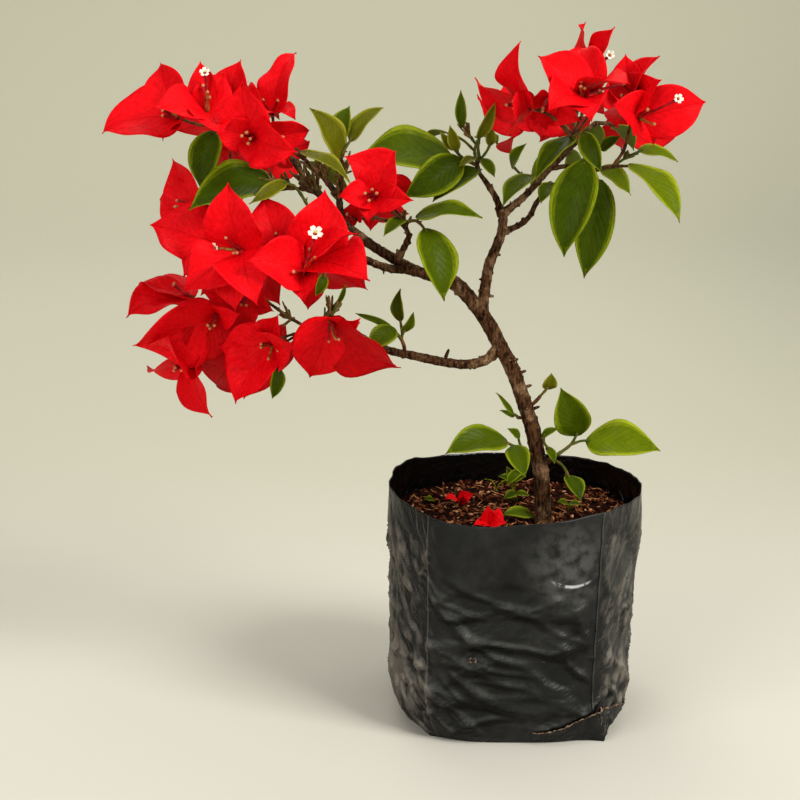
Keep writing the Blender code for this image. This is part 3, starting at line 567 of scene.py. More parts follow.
def dress(bm, finish_at):
    """Gives each face of a sheet its finish. finish_at says which from how far across and along it is."""
    layer = bm.loops.layers.uv.verify()
    for face in bm.faces:
        middle = sum((loop[layer].uv for loop in face.loops), Vector((0, 0))) / 4
        face.material_index = int(finish_at(*middle))


def add_patch(bm, columns, rows, place, finish_at=None):
    """Adds a sheet to a joined piece."""
    part = new_shape()
    add_sheet(part, columns, rows, place)
    if finish_at:
        dress(part, finish_at)
    weld(part)
    add_part(bm, part)


def add_tube(bm, route, sides, radius, finish=0):
    """A round limb along a route, closed at its ends. radius gives its radius from a station's number
    and a direction square to the route. finish is a number, or gives one from a station's number."""
    sides_at, side = [], (route[1] - route[0]).orthogonal()
    for station in range(len(route)):
        heading = route[min(station + 1, len(route) - 1)] - route[max(station - 1, 0)]
        lift = heading.cross(side).normalized()
        side = lift.cross(heading).normalized()
        sides_at.append((side.copy(), lift))
    last = len(route) - 1

    def place(across, along):
        station = round(along * last)
        side, lift = sides_at[station]
        turn = 2 * math.pi * across
        outward = side * math.cos(turn) + lift * math.sin(turn)
        return route[station] + outward * radius(station, outward)

    part = new_shape()
    add_sheet(part, sides, last, place)
    finish_at = finish if callable(finish) else lambda station: finish
    dress(part, lambda across, along: finish_at(along * last))
    bmesh.ops.remove_doubles(part, verts=part.verts, dist=WELD_DISTANCE / 10)
    ends = [edge for edge in part.edges if edge.is_boundary]
    for face in bmesh.ops.holes_fill(part, edges=ends, sides=0)["faces"]:
        face.material_index = finish_at(last)
    add_part(bm, part)


seal_tan = mottled(
    "melted seal", 0.6, 0.5, (1.6, 4, 0.7), 0.40, 0.6, (0.018, 0.011, 0.007), (0.30, 0.17, 0.085))
seal_tan.bump(seal_tan.noise(0.9, 4), 0.5)

shape = new_shape()
for seal in SEALS:
    add_patch(shape, 60, 12, ear_point(seal))
ears = make_piece("corner_ears", shape, film)
thicken(ears, FILM_THICKNESS)
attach(ears, "root")

shape = new_shape()
rng = random.Random(6)
for seal in SEALS:
    route, last = [], SEAL_STEPS - 1
    for step in range(SEAL_STEPS):
        turn, height = along_seal(seal, step / last)
        ends = min(1.0, step / 8, (last - step) / 8)
        height += rng.uniform(-0.45, 0.45)
        route.append(on_film(turn, height, EAR_PROUD * 1.2 * ends + 0.35 + rng.uniform(0, 0.3)))
    ragged = [rng.uniform(0.14, 0.42) * rng.choice((0.6, 1, 1, 1.9)) for _ in route]
    add_tube(shape, route, 6, lambda station, outward: ragged[station] * MM)
    turn, height = along_seal(seal, STRAND_START)
    strand = [on_film(turn + 0.5 * math.sin(step * 1.3), height + 2.5 - step * 1.1, EAR_PROUD * 1.2 + 0.5)
              for step in range(len(STRAND_RADII))]
    add_tube(shape, strand, 6, lambda station, outward: STRAND_RADII[station] * 0.55 * MM)
for turn, height, size in DRAIN_HOLES:
    turns = [2 * math.pi * step / 18 for step in range(19)]
    ring = [on_film(turn + size * math.cos(angle) * rng.uniform(0.85, 1.1) * 360 / BAG_GIRTH,
                    height + size * HOLE_FLATNESS * math.sin(angle) * rng.uniform(0.85, 1.1), 0.2)
            for angle in turns]
    ring[-1] = ring[0]
    torn = [rng.uniform(0.12, 0.42) * rng.choice((0.5, 1, 1.4)) for _ in ring]
    torn[-1] = torn[0]
    add_tube(shape, ring, 6, lambda station, outward: torn[station] * MM * min(1.0, size / 2))
bmesh.ops.recalc_face_normals(shape, faces=shape.faces)
seals = make_piece("torn_edges", shape, seal_tan)
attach(seals, "root")

# each hole is a dark disc on the film: the compost seen through it, darkened as painted shade
hole_shade_black = mottled("hole", 0.9, 0.5, (1.0, 3), 0.5, 0.65, (0.002, 0.0015, 0.001), (0.03, 0.012, 0.006))
shape = new_shape()
for turn, height, size in DRAIN_HOLES:
    add_patch(shape, 18, 3, lambda across, along: on_film(
        turn + size * along * math.cos(2 * math.pi * across) * 360 / BAG_GIRTH,
        height + size * HOLE_FLATNESS * along * math.sin(2 * math.pi * across), 0.12))
holes = make_piece("drain_holes", shape, hole_shade_black)
thicken(holes, 0.1)
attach(holes, "root")

# ================================================================ compost
# Damp coir: a lumpy plug of ground husk that fills the bag to a thumb's width below its rim, with
# loose fibres, chips of husk and crumbs lying on it.

COMPOST_TOP = 108.0
COMPOST_INSET = 1.2
TOP_SHARE, SIDE_SHARE = 0.8, 0.2  # how much of the sheet the top takes, and the side


def compost_height(place):
    """The compost's height in millimetres at a place, a little hollowed and heaped."""
    lumps = 2.6 * noise.noise(place / 21) + 1.6 * noise.noise(place / 7) + 0.9 * noise.noise(place / 2.6)
    return COMPOST_TOP + lumps - 0.4


def compost_point(across, along):
    """The top runs out from the middle over most of the sheet, and the side goes down from there."""
    turn = 2 * math.pi * across
    share = min(1.0, along / TOP_SHARE)
    edge = bag_point(turn, COMPOST_TOP, COMPOST_INSET)
    place = Vector((edge.x * share, edge.y * share, 0))
    if along <= TOP_SHARE:
        place.z = compost_height(place)
        return place * MM
    level = max(COMPOST_INSET, COMPOST_TOP * (1 - (along - TOP_SHARE) / SIDE_SHARE))
    return bag_point(turn, level, COMPOST_INSET) * MM


coir = Finish("coir", (0.03, 0.008, 0.003), 0.95, Specular_IOR_Level=0.05)
grains = coir.noise(1.5, 6, 0.7)
coir.set("Base Color", coir.blend(grains.between(0.50, 0.74), (0.006, 0.0012, 0.0006), (0.07, 0.018, 0.005)))
coir.bump(grains * 0.6 + coir.noise(5, 4) * 0.4, 2.5)

shape = new_shape()
add_sheet(shape, 110, 70, compost_point)
weld(shape)
bmesh.ops.holes_fill(shape, edges=[edge for edge in shape.edges if edge.is_boundary], sides=0)
bmesh.ops.recalc_face_normals(shape, faces=shape.faces)
compost = make_piece("compost_plug", shape, coir)
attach(compost, "root")
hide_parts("compost")

FIBRES, CHIPS, CRUMBS = 900, 380, 900
INSIDE_BAG = 66  # no fibre's end is further out than this

husk_finishes = [mottled(name, roughness, specular, (4, 3), 0.4, 0.65, plain, tone)
                 for name, roughness, specular, plain, tone in (
    ("pale coir fibre", 0.8, 0.08, (0.40, 0.15, 0.055), (0.60, 0.28, 0.12)),
    ("brown coir fibre", 0.85, 0.08, (0.13, 0.036, 0.011), (0.24, 0.075, 0.024)),
    ("dark coir fibre", 0.9, 0.05, (0.022, 0.005, 0.002), (0.05, 0.013, 0.005)),
    ("pale husk chip", 0.8, 0.08, (0.52, 0.27, 0.13), (0.34, 0.14, 0.06)))]

shape = new_shape()
rng = random.Random(8)


def spot_on_compost(margin):
    """A random place on the compost's top, in millimetres, kept off the bag by a margin."""
    turn, share = rng.uniform(0, 2 * math.pi), math.sqrt(rng.random())
    edge = bag_point(turn, COMPOST_TOP, COMPOST_INSET + margin)
    place = Vector((edge.x * share, edge.y * share, 0))
    place.z = compost_height(place)
    return place


for number in range(FIBRES):
    start = spot_on_compost(3)
    heading = Matrix.Rotation(rng.uniform(0, 2 * math.pi), 3, "Z") @ Vector((1, 0, 0))
    long = number % 6 == 0
    reach = rng.uniform(6, 12) if long else rng.uniform(2, 5.5)
    bow, tilt = rng.uniform(-1, 1), rng.uniform(0, 2.2)
    points = []
    for step in range(5):
        share = step / 4
        place = start + heading * reach * (share - 0.5)
        place += heading.orthogonal().cross(heading).normalized() * bow * 5 * share * (1 - share)
        place.z = compost_height(place) + 0.2 + rng.uniform(0, 0.5) + tilt * share
        if place.xy.length > INSIDE_BAG:
            place.xy *= INSIDE_BAG / place.xy.length
        points.append(place * MM)
    thickness = rng.uniform(0.22, 0.42) if long else rng.uniform(0.3, 0.7)
    add_tube(shape, points, 4, lambda step, _: thickness * (0.6, 1, 0.95, 0.8, 0.35)[step] * MM,
             rng.choice((0, 0, 1) if long else (0, 1, 1, 2, 2, 2)))
for _ in range(CHIPS):
    place = Matrix.Translation((spot_on_compost(3) + Vector((0, 0, 0.4))) * MM)
    turned = Matrix.Rotation(rng.uniform(0, 3), 4, "Z") @ Matrix.Rotation(rng.uniform(-0.6, 0.6), 4, "X")
    size = [rng.uniform(low, high) * MM for low, high in ((1.0, 3.0), (0.6, 1.8), (0.3, 0.7))]
    part = new_shape()
    corners = bmesh.ops.create_cube(part, size=1, matrix=place @ turned @ Matrix.Diagonal((*size, 1)))
    finish = rng.choice((0, 1, 1, 2, 3))
    for vert in corners["verts"]:
        vert.co += Vector([rng.uniform(-0.25, 0.25) * MM for _ in range(3)])
    for face in part.faces:
        face.material_index = finish
    add_part(shape, part)
for _ in range(CRUMBS):
    place = Matrix.Translation((spot_on_compost(2) + Vector((0, 0, 0.3))) * MM)
    size = [rng.uniform(0.6, 1.9) * MM for _ in range(3)]
    part = new_shape()
    bmesh.ops.create_icosphere(part, subdivisions=1, radius=1, matrix=place @ Matrix.Diagonal((*size, 1)))
    finish = rng.choice((1, 2, 2, 2))
    for face in part.faces:
        face.material_index = finish
    add_part(shape, part)
litter = make_piece("coir_litter", shape, *husk_finishes)
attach(litter, "root")

# ================================================================ trunk and boughs
# Young wood grows in short joints. The bark is brown and finely cracked along the limb, with a
# raised ring and a leaf's scar at each joint, pale pores, and the stubs of twigs that have gone.

# name: (route, radius at its start, radius at its end)
LIMBS = {
    "trunk": (
        ((16, -14, 108.3), (15, -13, 127), (13, -12, 143), (9, -10, 161), (3, -9, 180), (-3, -8, 196),
         (-9, -7, 207), (-16, -6, 220), (-24, -5, 231), (-32, -5, 240), (-38, -5, 244)), 4.3, 3.9),
    "bough_left": (
        ((-38, -5, 244), (-47, -7, 246), (-57, -9, 250), (-68, -12, 257), (-77, -14, 263),
         (-86, -14, 270)), 3.2, 2.4),
    "bough_left_front": (((-57, -9, 250), (-68, -18, 252), (-78, -26, 257), (-87, -32, 263)), 2.3, 1.8),
    "bough_centre": (((-65, -11, 255), (-61, -15, 263), (-58, -19, 271)), 1.9, 1.5),
    "bough_lower": (
        ((-10, -7, 205), (-18, -9, 199), (-29, -13, 198), (-42, -18, 201), (-55, -22, 205), (-69, -26, 209),
         (-81, -28, 215), (-90, -30, 221)), 2.7, 1.9),
    "bough_right": (
        ((-19, -6, 225), (-17, -4, 240), (-15, -2, 251), (-11, 0, 261), (-8, 2, 270),
         (-8, 3, 280)), 3.1, 2.4),
    "bough_right_inner": (((-8, 3, 277), (-11, 6, 285), (-14, 8, 290), (-18, 8, 296)), 1.9, 1.4),
    "bough_right_outer": (((-8, 3, 278), (-1, 0, 284), (5, -3, 290), (11, -5, 297)), 2.1, 1.6),
    "bough_right_low": (((-9, 2, 268), (0, 8, 270), (7, 14, 274), (11, 18, 281), (16, 20, 288)), 1.7, 1.2),
}
FOOT_FLARE, FLARE_HEIGHT = 0.5, 7.0
BARK_STATION = 0.8
COLLAR, COLLAR_LENGTH = 1.1, 4.0  # a bough's foot swells by this much where it leaves its parent
JOINT_LENGTH = 6.2
RING_RISE, SCAR_RISE = 0.26, 0.85  # how far the ring at a joint stands out, and the scar on it
STUB_CHANCE = 0.7
STUB_TAPER = (1.25, 1.0, 0.9, 0.45)
# the tips of the longest stubs
SPURS = {
    "trunk": ((1, -8, 200), (5.5, -8.5, 193.5), (8.5, -9, 185.5), (13, -9.5, 173.5)),
    "bough_right": ((-9, -2, 256), (-18.5, -3, 248), (-12.5, -5, 234)),
    "bough_lower": ((-37, -19, 208), (-25, -14, 195.5))}


def distances(route):
    """How far along the route each of its points is."""
    travelled = [0.0]
    for before, after in zip(route, route[1:]):
        travelled.append(travelled[-1] + (after - before).length)
    return travelled


bark = Finish("bark", (0.08, 0.04, 0.018), 0.8, Specular_IOR_Level=0.08)
streaks = bark.noise(1.3, 5, 0.6, (1, 1, 5))
patches = bark.noise(12, 4)
# the colour follows the relief, darker in the cracks: partly the bark's own colour, partly painted shade
brown_with_crack_shade = bark.blend(streaks.between(0.38, 0.62), (0.010, 0.0035, 0.0013), (0.085, 0.035, 0.012))
tan = bark.blend(streaks.between(0.3, 0.6), (0.033, 0.012, 0.004), (0.225, 0.125, 0.062))
pores = bark.cells(2.6, stretch=(1, 1, 0.6)).between(0.24, 0.14) * bark.noise(6).between(0.48, 0.6)
skin = bark.blend(patches.between(0.50, 0.66), brown_with_crack_shade, tan)
bark.set("Base Color", bark.blend(pores, skin, (0.36, 0.24, 0.14)))
bark.bump(streaks * 0.8 + bark.noise(0.7, 3) * 0.3, 0.7)

shape = new_shape()
rng = random.Random(17)
for name, (points, start_radius, end_radius) in LIMBS.items():
    route = smooth_route([metres(point) for point in points], BARK_STATION * MM)
    travelled = [distance / MM for distance in distances(route)]
    length = travelled[-1]
    joints, place = [], rng.uniform(4, 8)
    while place < length - 2:
        joints.append((place, Vector([rng.uniform(-1, 1) for _ in range(3)]).normalized()))
        place += JOINT_LENGTH * rng.uniform(0.6, 1.4)

    def radius(station, outward):
        distance = travelled[station]
        size = start_radius + (end_radius - start_radius) * distance / length
        if name == "trunk":
            size += FOOT_FLARE * math.exp(-distance / FLARE_HEIGHT)
        else:
            size += COLLAR * math.exp(-(distance / COLLAR_LENGTH) ** 2)
        where = route[station] / MM
        flutes = outward * 1.6 + Vector((0, 0, distance / 14))
        size *= 1 + 0.10 * noise.noise(flutes) + 0.05 * noise.noise(where / 5 + outward * 2)
        fine = outward * size / 0.9 + Vector((distance / 4, 0, 0))
        size += 0.16 * noise.noise(fine)
        for joint, scar in joints:
            ring = math.exp(-((distance - joint) / 0.9) ** 2)
            size += ring * (RING_RISE + SCAR_RISE * max(0.0, outward.dot(scar)) ** 4)
        return size * MM

    sides = 30 if start_radius > 3 else 20
    add_tube(shape, route, sides, radius)
    for joint, scar in joints:
        if rng.random() < STUB_CHANCE:
            station = min(range(len(route)), key=lambda index: abs(travelled[index] - joint))
            heading = (route[min(station + 1, len(route) - 1)] - route[max(0, station - 1)]).normalized()
            outward = (scar - heading * scar.dot(heading)).normalized()
            lean = (outward + heading * rng.uniform(0.0, 0.9)).normalized()
            thick = rng.uniform(0.5, 1.0)
            size = start_radius + (end_radius - start_radius) * joint / length
            reach = rng.uniform(1.0, 3.2)
            stub = [route[station] + (outward * size * 0.6 + lean * reach * step / 3) * MM
                    for step in range(len(STUB_TAPER))]
            add_tube(shape, stub, 7, lambda step, _: thick * STUB_TAPER[step] * MM)
    for tip in SPURS.get(name, ()):
        foot = min(route, key=lambda point: (point - metres(tip)).length)
        stub = [foot.lerp(metres(tip), share) for share in (0.4, 0.7, 0.87, 1.0)]
        add_tube(shape, stub, 7, lambda step, _: 0.9 * STUB_TAPER[step] * MM)
bmesh.ops.recalc_face_normals(shape, faces=shape.faces)
limbs = make_piece("bark_limbs", shape, bark)
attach(limbs, "root")
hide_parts(*LIMBS)

# ================================================================ twigs
# Each bough ends in a mass of thin twigs, and a few green shoots sprout from older wood. A mass grows
# from one stem. Every bloom and leaf has its own twig, from the joint that gives the shortest way
# back, and twigs thicken with what they carry. Young ones are green, older ones brown.

TWIG_RADIUS, TWIG_POWER = 0.74, 0.46  # radius = TWIG_RADIUS * (growths carried) ** TWIG_POWER
TWIG_SPAN, TWIG_WOBBLE, TWIG_EASE = 11.0, 0.6, 0.35
DETOUR = 0.35  # what a millimetre of path back to the stem's foot costs next to one of new twig
EASY_TURN, SHARPNESS_COST = math.radians(50), 30.0
STARTS_TRIED = 8
STEM_SHARE = 0.45  # the stem's length as a share of the way to the middle of its blooms and leaves
PROBE = 20.0  # how far outside a limb the search for its surface starts
TWIN_LEAN = math.radians(15)  # how far the plane between the near and far side leans back
TWIN_SIZE, TWIN_FROM = 0.92, 44.0
TWINLESS = (("crown_right", 0), ("crown_right", 2))  # long leaves that would show below the crown
BRACT_OPENING = 44  # degrees between the flower's axis and a bract where it starts
HUB_RADIUS, HUB_RISE, BRACT_SINK = 1.2, 0.6, 1.2
PETIOLE_RADIUS, PETIOLE_OVERLAP = 0.55, 2.5


# A mass grows from the tip of its limb, or from the limb's side at a place. depth is where the plane
# between its near and far side is, and stem its stem's radius. A bloom is (hub, facing, bracts), and a
# bract (angle round the hub, length) and maybe how far it's rolled and opened, in degrees, and its width.
# A leaf is (base, tip, upper face), and maybe its width. A width is a share of the usual one.
Mass = namedtuple("Mass", "limb depth seed stem blooms leaves side", defaults=((), (), None))
MASSES = {
    "crown_left_front": Mass(
        "bough_left_front", depth=-12, seed=11, stem=1.7,
        blooms=(
            ((-145, -45, 267), (-0.4, -0.85, 0.3), ((100, 39), (-132, 40), (-41, 44), (-85, 35, 0, 60))),
            ((-158, -24, 263), (-0.35, -0.55, 0.75), ((-178, 44), (-95, 34), (78, 32))),
            ((-126, -38, 265), (-0.1, -0.65, 0.75), ((111, 34), (-38, 24))),
            ((-113, -56, 259), (0.2, -0.85, 0.5), ((51, 37, -70), (177, 37), (-110, 23, 0, 55))),
            ((-110, -44, 261), (-0.1, -0.8, 0.5), ((70, 41, 20), (-10, 46, -40)))),
        leaves=(
            ((-129, -12, 299), (-172, -35, 284), (-0.2, -0.5, 0.9), 1.15),
            ((-123, -24, 300), (-142, -40, 291), (0.3, -0.6, 0.7), 0.6),
            ((-103, -30, 251), (-108, -36, 241), (0.2, -0.9, 0.2)))),
    "crown_top_left": Mass(
        "bough_left", depth=2, seed=21, stem=2.2,
        blooms=(
            ((-181, -2, 330), (-0.55, -0.55, 0.6), ((-142, 44), (128, 36), (-107, 16, 0, 70))),
            ((-165, -14, 335), (0.1, -0.65, 0.75),
             ((-166, 35), (103, 30, -20, 44, 0.75), (-78, 31), (62, 26))),
            ((-153, -4, 337), (0.0, -0.6, 0.8), ((81, 27, 0, 30), (-49, 32))),
            ((-140, -26, 324), (-0.25, -0.95, 0.1), ((159, 24), (94, 34), (-12, 34), (-76, 18, 0, 55))),
            ((-134, -18, 324), (0.7, -0.7, 0.0), ((-5, 26, 20), (-53, 20))),
            ((-132, 10, 331), (0.15, -0.5, 0.85), ((71, 41, -30, 44, 0.62), (-156, 27), (-58, 20))),
            ((-153, 5, 318), (-0.1, -0.3, -0.9), ((-124, 32), (-94, 26))),
            ((-173, 12, 280), (-0.75, -0.6, 0.1), ((132, 34, 0, 60), (-179, 34, 0, 60)))),
        leaves=(
            ((-94, -5, 309), (-111, -12, 337), (0.6, -0.6, 0.2)),
            ((-90, -3, 318), (-72, 5, 335), (-0.5, -0.5, 0.8)),
            ((-99, 0, 316), (-90, 6, 336), (0.1, -0.9, 0.4)),
            ((-116, -17, 315), (-89, -33, 300), (0.3, -0.5, 0.8), 0.62),
            ((-163, -5, 324), (-167, -13, 294), (-0.4, -0.8, 0.1), 1.15))),
    "crown_low_left": Mass(
        "bough_lower", depth=-12, seed=31, stem=1.7,
        blooms=(
            ((-177, 2, 232), (-0.65, -0.1, 0.75), ((-72, 39, -30), (-146, 38, 30))),
            ((-161, -28, 230), (-0.2, -0.9, -0.4), ((-167, 50), (-114, 33), (20, 20))),
            ((-175, -20, 204), (-0.7, -0.55, -0.45), ((-159, 33, -40), (-40, 38, -20), (60, 38))),
            ((-148, -26, 210), (-0.5, -0.55, -0.7), ((-139, 38), (-84, 22))),
            ((-131, -38, 216), (-0.6, -0.8, 0.0), ((-172, 32), (-112, 40), (6, 31, 20), (56, 27))),
            ((-100, -36, 228), (0.0, -0.65, -0.75), ((-118, 42, 20), (-27, 48), (26, 19, -10, 60))),
            ((-146, -16, 239), (-0.1, -0.9, -0.3), ((-120, 30, 0, 60), (-35, 20, 0, 60), (165, 26)))),
        leaves=(
            ((-129, -26, 200), (-132, -29, 183), (0.6, -0.8, 0.1)),
            ((-99, -26, 233), (-92, -28, 246), (0.7, -0.6, 0.3), 0.5))),
    "crown_centre": Mass(
        "bough_centre", depth=-2, seed=41, stem=1.3,
        blooms=(
            ((-77, -30, 293), (-0.15, -0.9, 0.35),
             ((-174, 21), (62, 30, 0, 44, 0.9), (-8, 27, 0, 44, 0.8), (-95, 17, 0, 50))),
            ((-70, -8, 294), (0.5, -0.8, 0.3), ((147, 36, 0, 55), (-10, 17))),
            ((-87, -6, 277), (-0.5, -0.7, 0.1), ((60, 14), (180, 13)))),
        leaves=(
            ((-55, -22, 281), (-20, -32, 282), (0.1, -0.5, 0.9), 0.85),
            ((-50, -24, 275), (-40, -39, 239), (0.5, -0.8, 0.3), 1.1),
            ((-61, -15, 279), (-72, -25, 271), (-0.3, -0.7, 0.6)))),
    "crown_upper_middle": Mass(
        "bough_right_inner", depth=4, seed=51, stem=1.2,
        leaves=(
            ((-30, 0, 325), (-31, 2, 345), (-0.3, -0.9, 0.0), 0.6),
            ((-22, -5, 320), (-13, -10, 340), (0.5, -0.8, 0.2), 0.62),
            ((-34, -6, 314), (-42, -8, 324), (-0.3, -0.8, 0.4), 0.8),
            ((-35, 0, 308), (-87, -4, 307), (0.0, -0.55, 0.85), 1.25),
            ((-30, -8, 309), (-59, -25, 286), (-0.3, -0.7, 0.6)),
            ((-22, -7, 304), (-46, -18, 288), (-0.2, -0.6, 0.7), 0.9),
            ((-33, -9, 314), (-37, -11, 328), (-0.2, -0.9, 0.1), 0.9),
            ((-15, -4, 316), (-16, -6, 327), (0.3, -0.9, 0.1), 1.1),
            ((-23, -6, 310), (-32, -12, 306), (-0.3, -0.6, 0.7)),
            ((-20, -4, 309), (-13, -10, 300), (0.3, -0.7, 0.6)),
            ((-36, 12, 320), (-50, 22, 314), (-0.2, 0.5, 0.8)),
            ((-22, 10, 318), (-10, 24, 312), (0.3, 0.6, 0.7)))),
    "crown_right": Mass(
        "bough_right_outer", depth=6, seed=61, stem=1.5,
        blooms=(
            ((5, -20, 338), (-0.85, -0.5, 0.15), ((81, 40, 0, 44, 0.75), (179, 38, -40), (-28, 32, 0, 30))),
            ((15, -8, 342), (-0.3, -0.9, -0.1), ((-150, 22), (-25, 26), (-88, 19))),
            ((32, -28, 345), (0.0, -0.65, 0.75), ((144, 34), (-133, 34), (-85, 32))),
            ((35, -18, 346), (-0.1, -0.3, 0.95), ((110, 34, 0, 44, 0.9), (-30, 36))),
            ((41, 8, 353), (-0.7, -0.1, 0.7), ((165, 37, -50), (56, 30, 30))),
            ((60, -12, 342), (-0.6, -0.6, 0.5), ((62, 33), (12, 28, 20), (-86, 28), (112, 26))),
            ((62, -16, 333), (0.5, -0.85, 0.1), ((10, 39, 0, 44, 0.92), (160, 30), (-64, 19, 0, 60)))),
        leaves=(
            ((34, -25, 312), (23, -36, 262), (-0.2, -0.9, 0.3), 0.9),
            ((43, -11, 299), (35, -19, 247), (0.1, -0.9, 0.3), 0.8),
            ((58, -15, 308), (83, -35, 280), (0.5, -0.6, 0.6), 0.85),
            ((64, 0, 313), (86, 4, 306), (0.2, -0.4, 0.9)),
            ((32, -30, 327), (41, -42, 308), (-0.4, -0.8, 0.4), 0.9),
            ((29, -15, 323), (8, -30, 302), (-0.5, -0.5, 0.7), 0.85),
            ((45, 6, 303), (61, 2, 288), (0.3, -0.6, 0.7), 1.3),
            ((43, -12, 315), (53, -18, 323), (0.3, -0.7, 0.6), 0.9),
            ((44, 34, 322), (40, 44, 296), (-0.1, 0.9, 0.4)),
            ((54, 30, 322), (66, 42, 306), (0.3, 0.8, 0.5)))),
    "crown_right_low": Mass(
        "bough_right_low", depth=14, seed=71, stem=1.0,
        leaves=(
            ((8, -4, 300), (-9, -20, 286), (-0.4, -0.6, 0.7)),
            ((20, 8, 294), (12, -6, 285), (-0.3, -0.6, 0.7)),
            ((-3, 8, 302), (4, -3, 317), (-0.7, -0.6, 0.3), 0.8))),
    "shoot_lower_bough": Mass(
        "bough_lower", depth=-20, side=(-60, -23, 207), seed=81, stem=1.0,
        leaves=(
            ((-66, -23, 218), (-87, -20, 228), (0.0, -0.6, 0.8), 0.5),
            ((-66, -25, 221), (-79, -35, 210), (-0.3, -0.7, 0.6), 1.3),
            ((-63, -18, 223), (-63, -13, 240), (-0.6, -0.8, 0.0)),
            ((-62, -22, 218), (-56, -25, 230), (0.6, -0.8, 0.1)))),
    "shoot_base_left": Mass(
        "trunk", depth=-18, side=(13, -12, 145), seed=91, stem=1.0,
        leaves=(
            ((-5, -20, 157), (-39, -36, 154), (-0.1, -0.6, 0.8)),
            ((-2, -22, 155), (4, -39, 142), (0.0, -0.8, 0.6), 1.15),
            ((2, -17, 158), (-5, -20, 164), (-0.3, -0.6, 0.7)),
            ((3, -17, 140), (-5, -22, 132), (-0.3, -0.7, 0.6)))),
    "shoot_base_right": Mass(
        "trunk", depth=-6, side=(14, -12, 139), seed=101, stem=1.7,
        leaves=(
            ((35, -6, 156), (24, -13, 185), (-0.2, -0.9, 0.3), 1.25),
            ((39, -6, 153), (79, -16, 150), (0.0, -0.7, 0.7), 1.1),
            ((28, -19, 137), (35, -31, 126), (0.4, -0.7, 0.5), 1.2),
            ((17, -14, 152), (21, -20, 144), (0.3, -0.7, 0.6)),
            ((14, -15, 158), (23, -17, 163), (0.2, -0.6, 0.8)))),
    "shoot_trunk_right": Mass(
        "trunk", depth=-8, side=(6, -9, 171), seed=111, stem=1.4,
        leaves=(((17, -9, 183), (19, -12, 193), (0.2, -0.9, 0.3), 1.5),)),
    "shoot_trunk_left": Mass(
        "trunk", depth=-8, side=(7, -9, 166), seed=121, stem=0.9,
        leaves=(
            ((-1, -11, 168), (-11, -8, 181), (0.3, -0.8, 0.4), 0.4),
            ((-1, -11, 168), (-9, -12, 172), (0.2, -0.8, 0.4), 0.6))),
}


class Form(namedtuple("Form", "waist tail point bend cup aspect ruffle hook")):
    """The shape of a kind of leaf: its outline (waist, tail, point), how far it bends from its upper
    face over its length in radians, how its edges lift (cup), its width as a share of its length
    (aspect), how wavy its edges are (ruffle), and how far its tip may hook."""

    @property
    def widest(self):
        """The share of the length where it's widest."""
        return self.waist / (self.waist + self.tail)

    def outline(self, share):
        """Half-width at a share of the length, where the widest place is 1. The tip is drawn out."""
        rise = (max(share, 0.006) / self.widest) ** self.waist
        return rise * (max(0.0, 1 - share) / (1 - self.widest)) ** (self.tail + self.point * share ** 3)

    def widened(self, times):
        return self._replace(aspect=self.aspect * times)


LEAF = Form(waist=0.60, tail=0.84, point=0.45, bend=0.7, cup=0.35, aspect=0.50, ruffle=0.018, hook=0.15)
BRACT = Form(waist=0.5, tail=0.80, point=0.66, bend=0.75, cup=0.34, aspect=0.79, ruffle=0.046, hook=0.5)
RIB_STEPS = 20


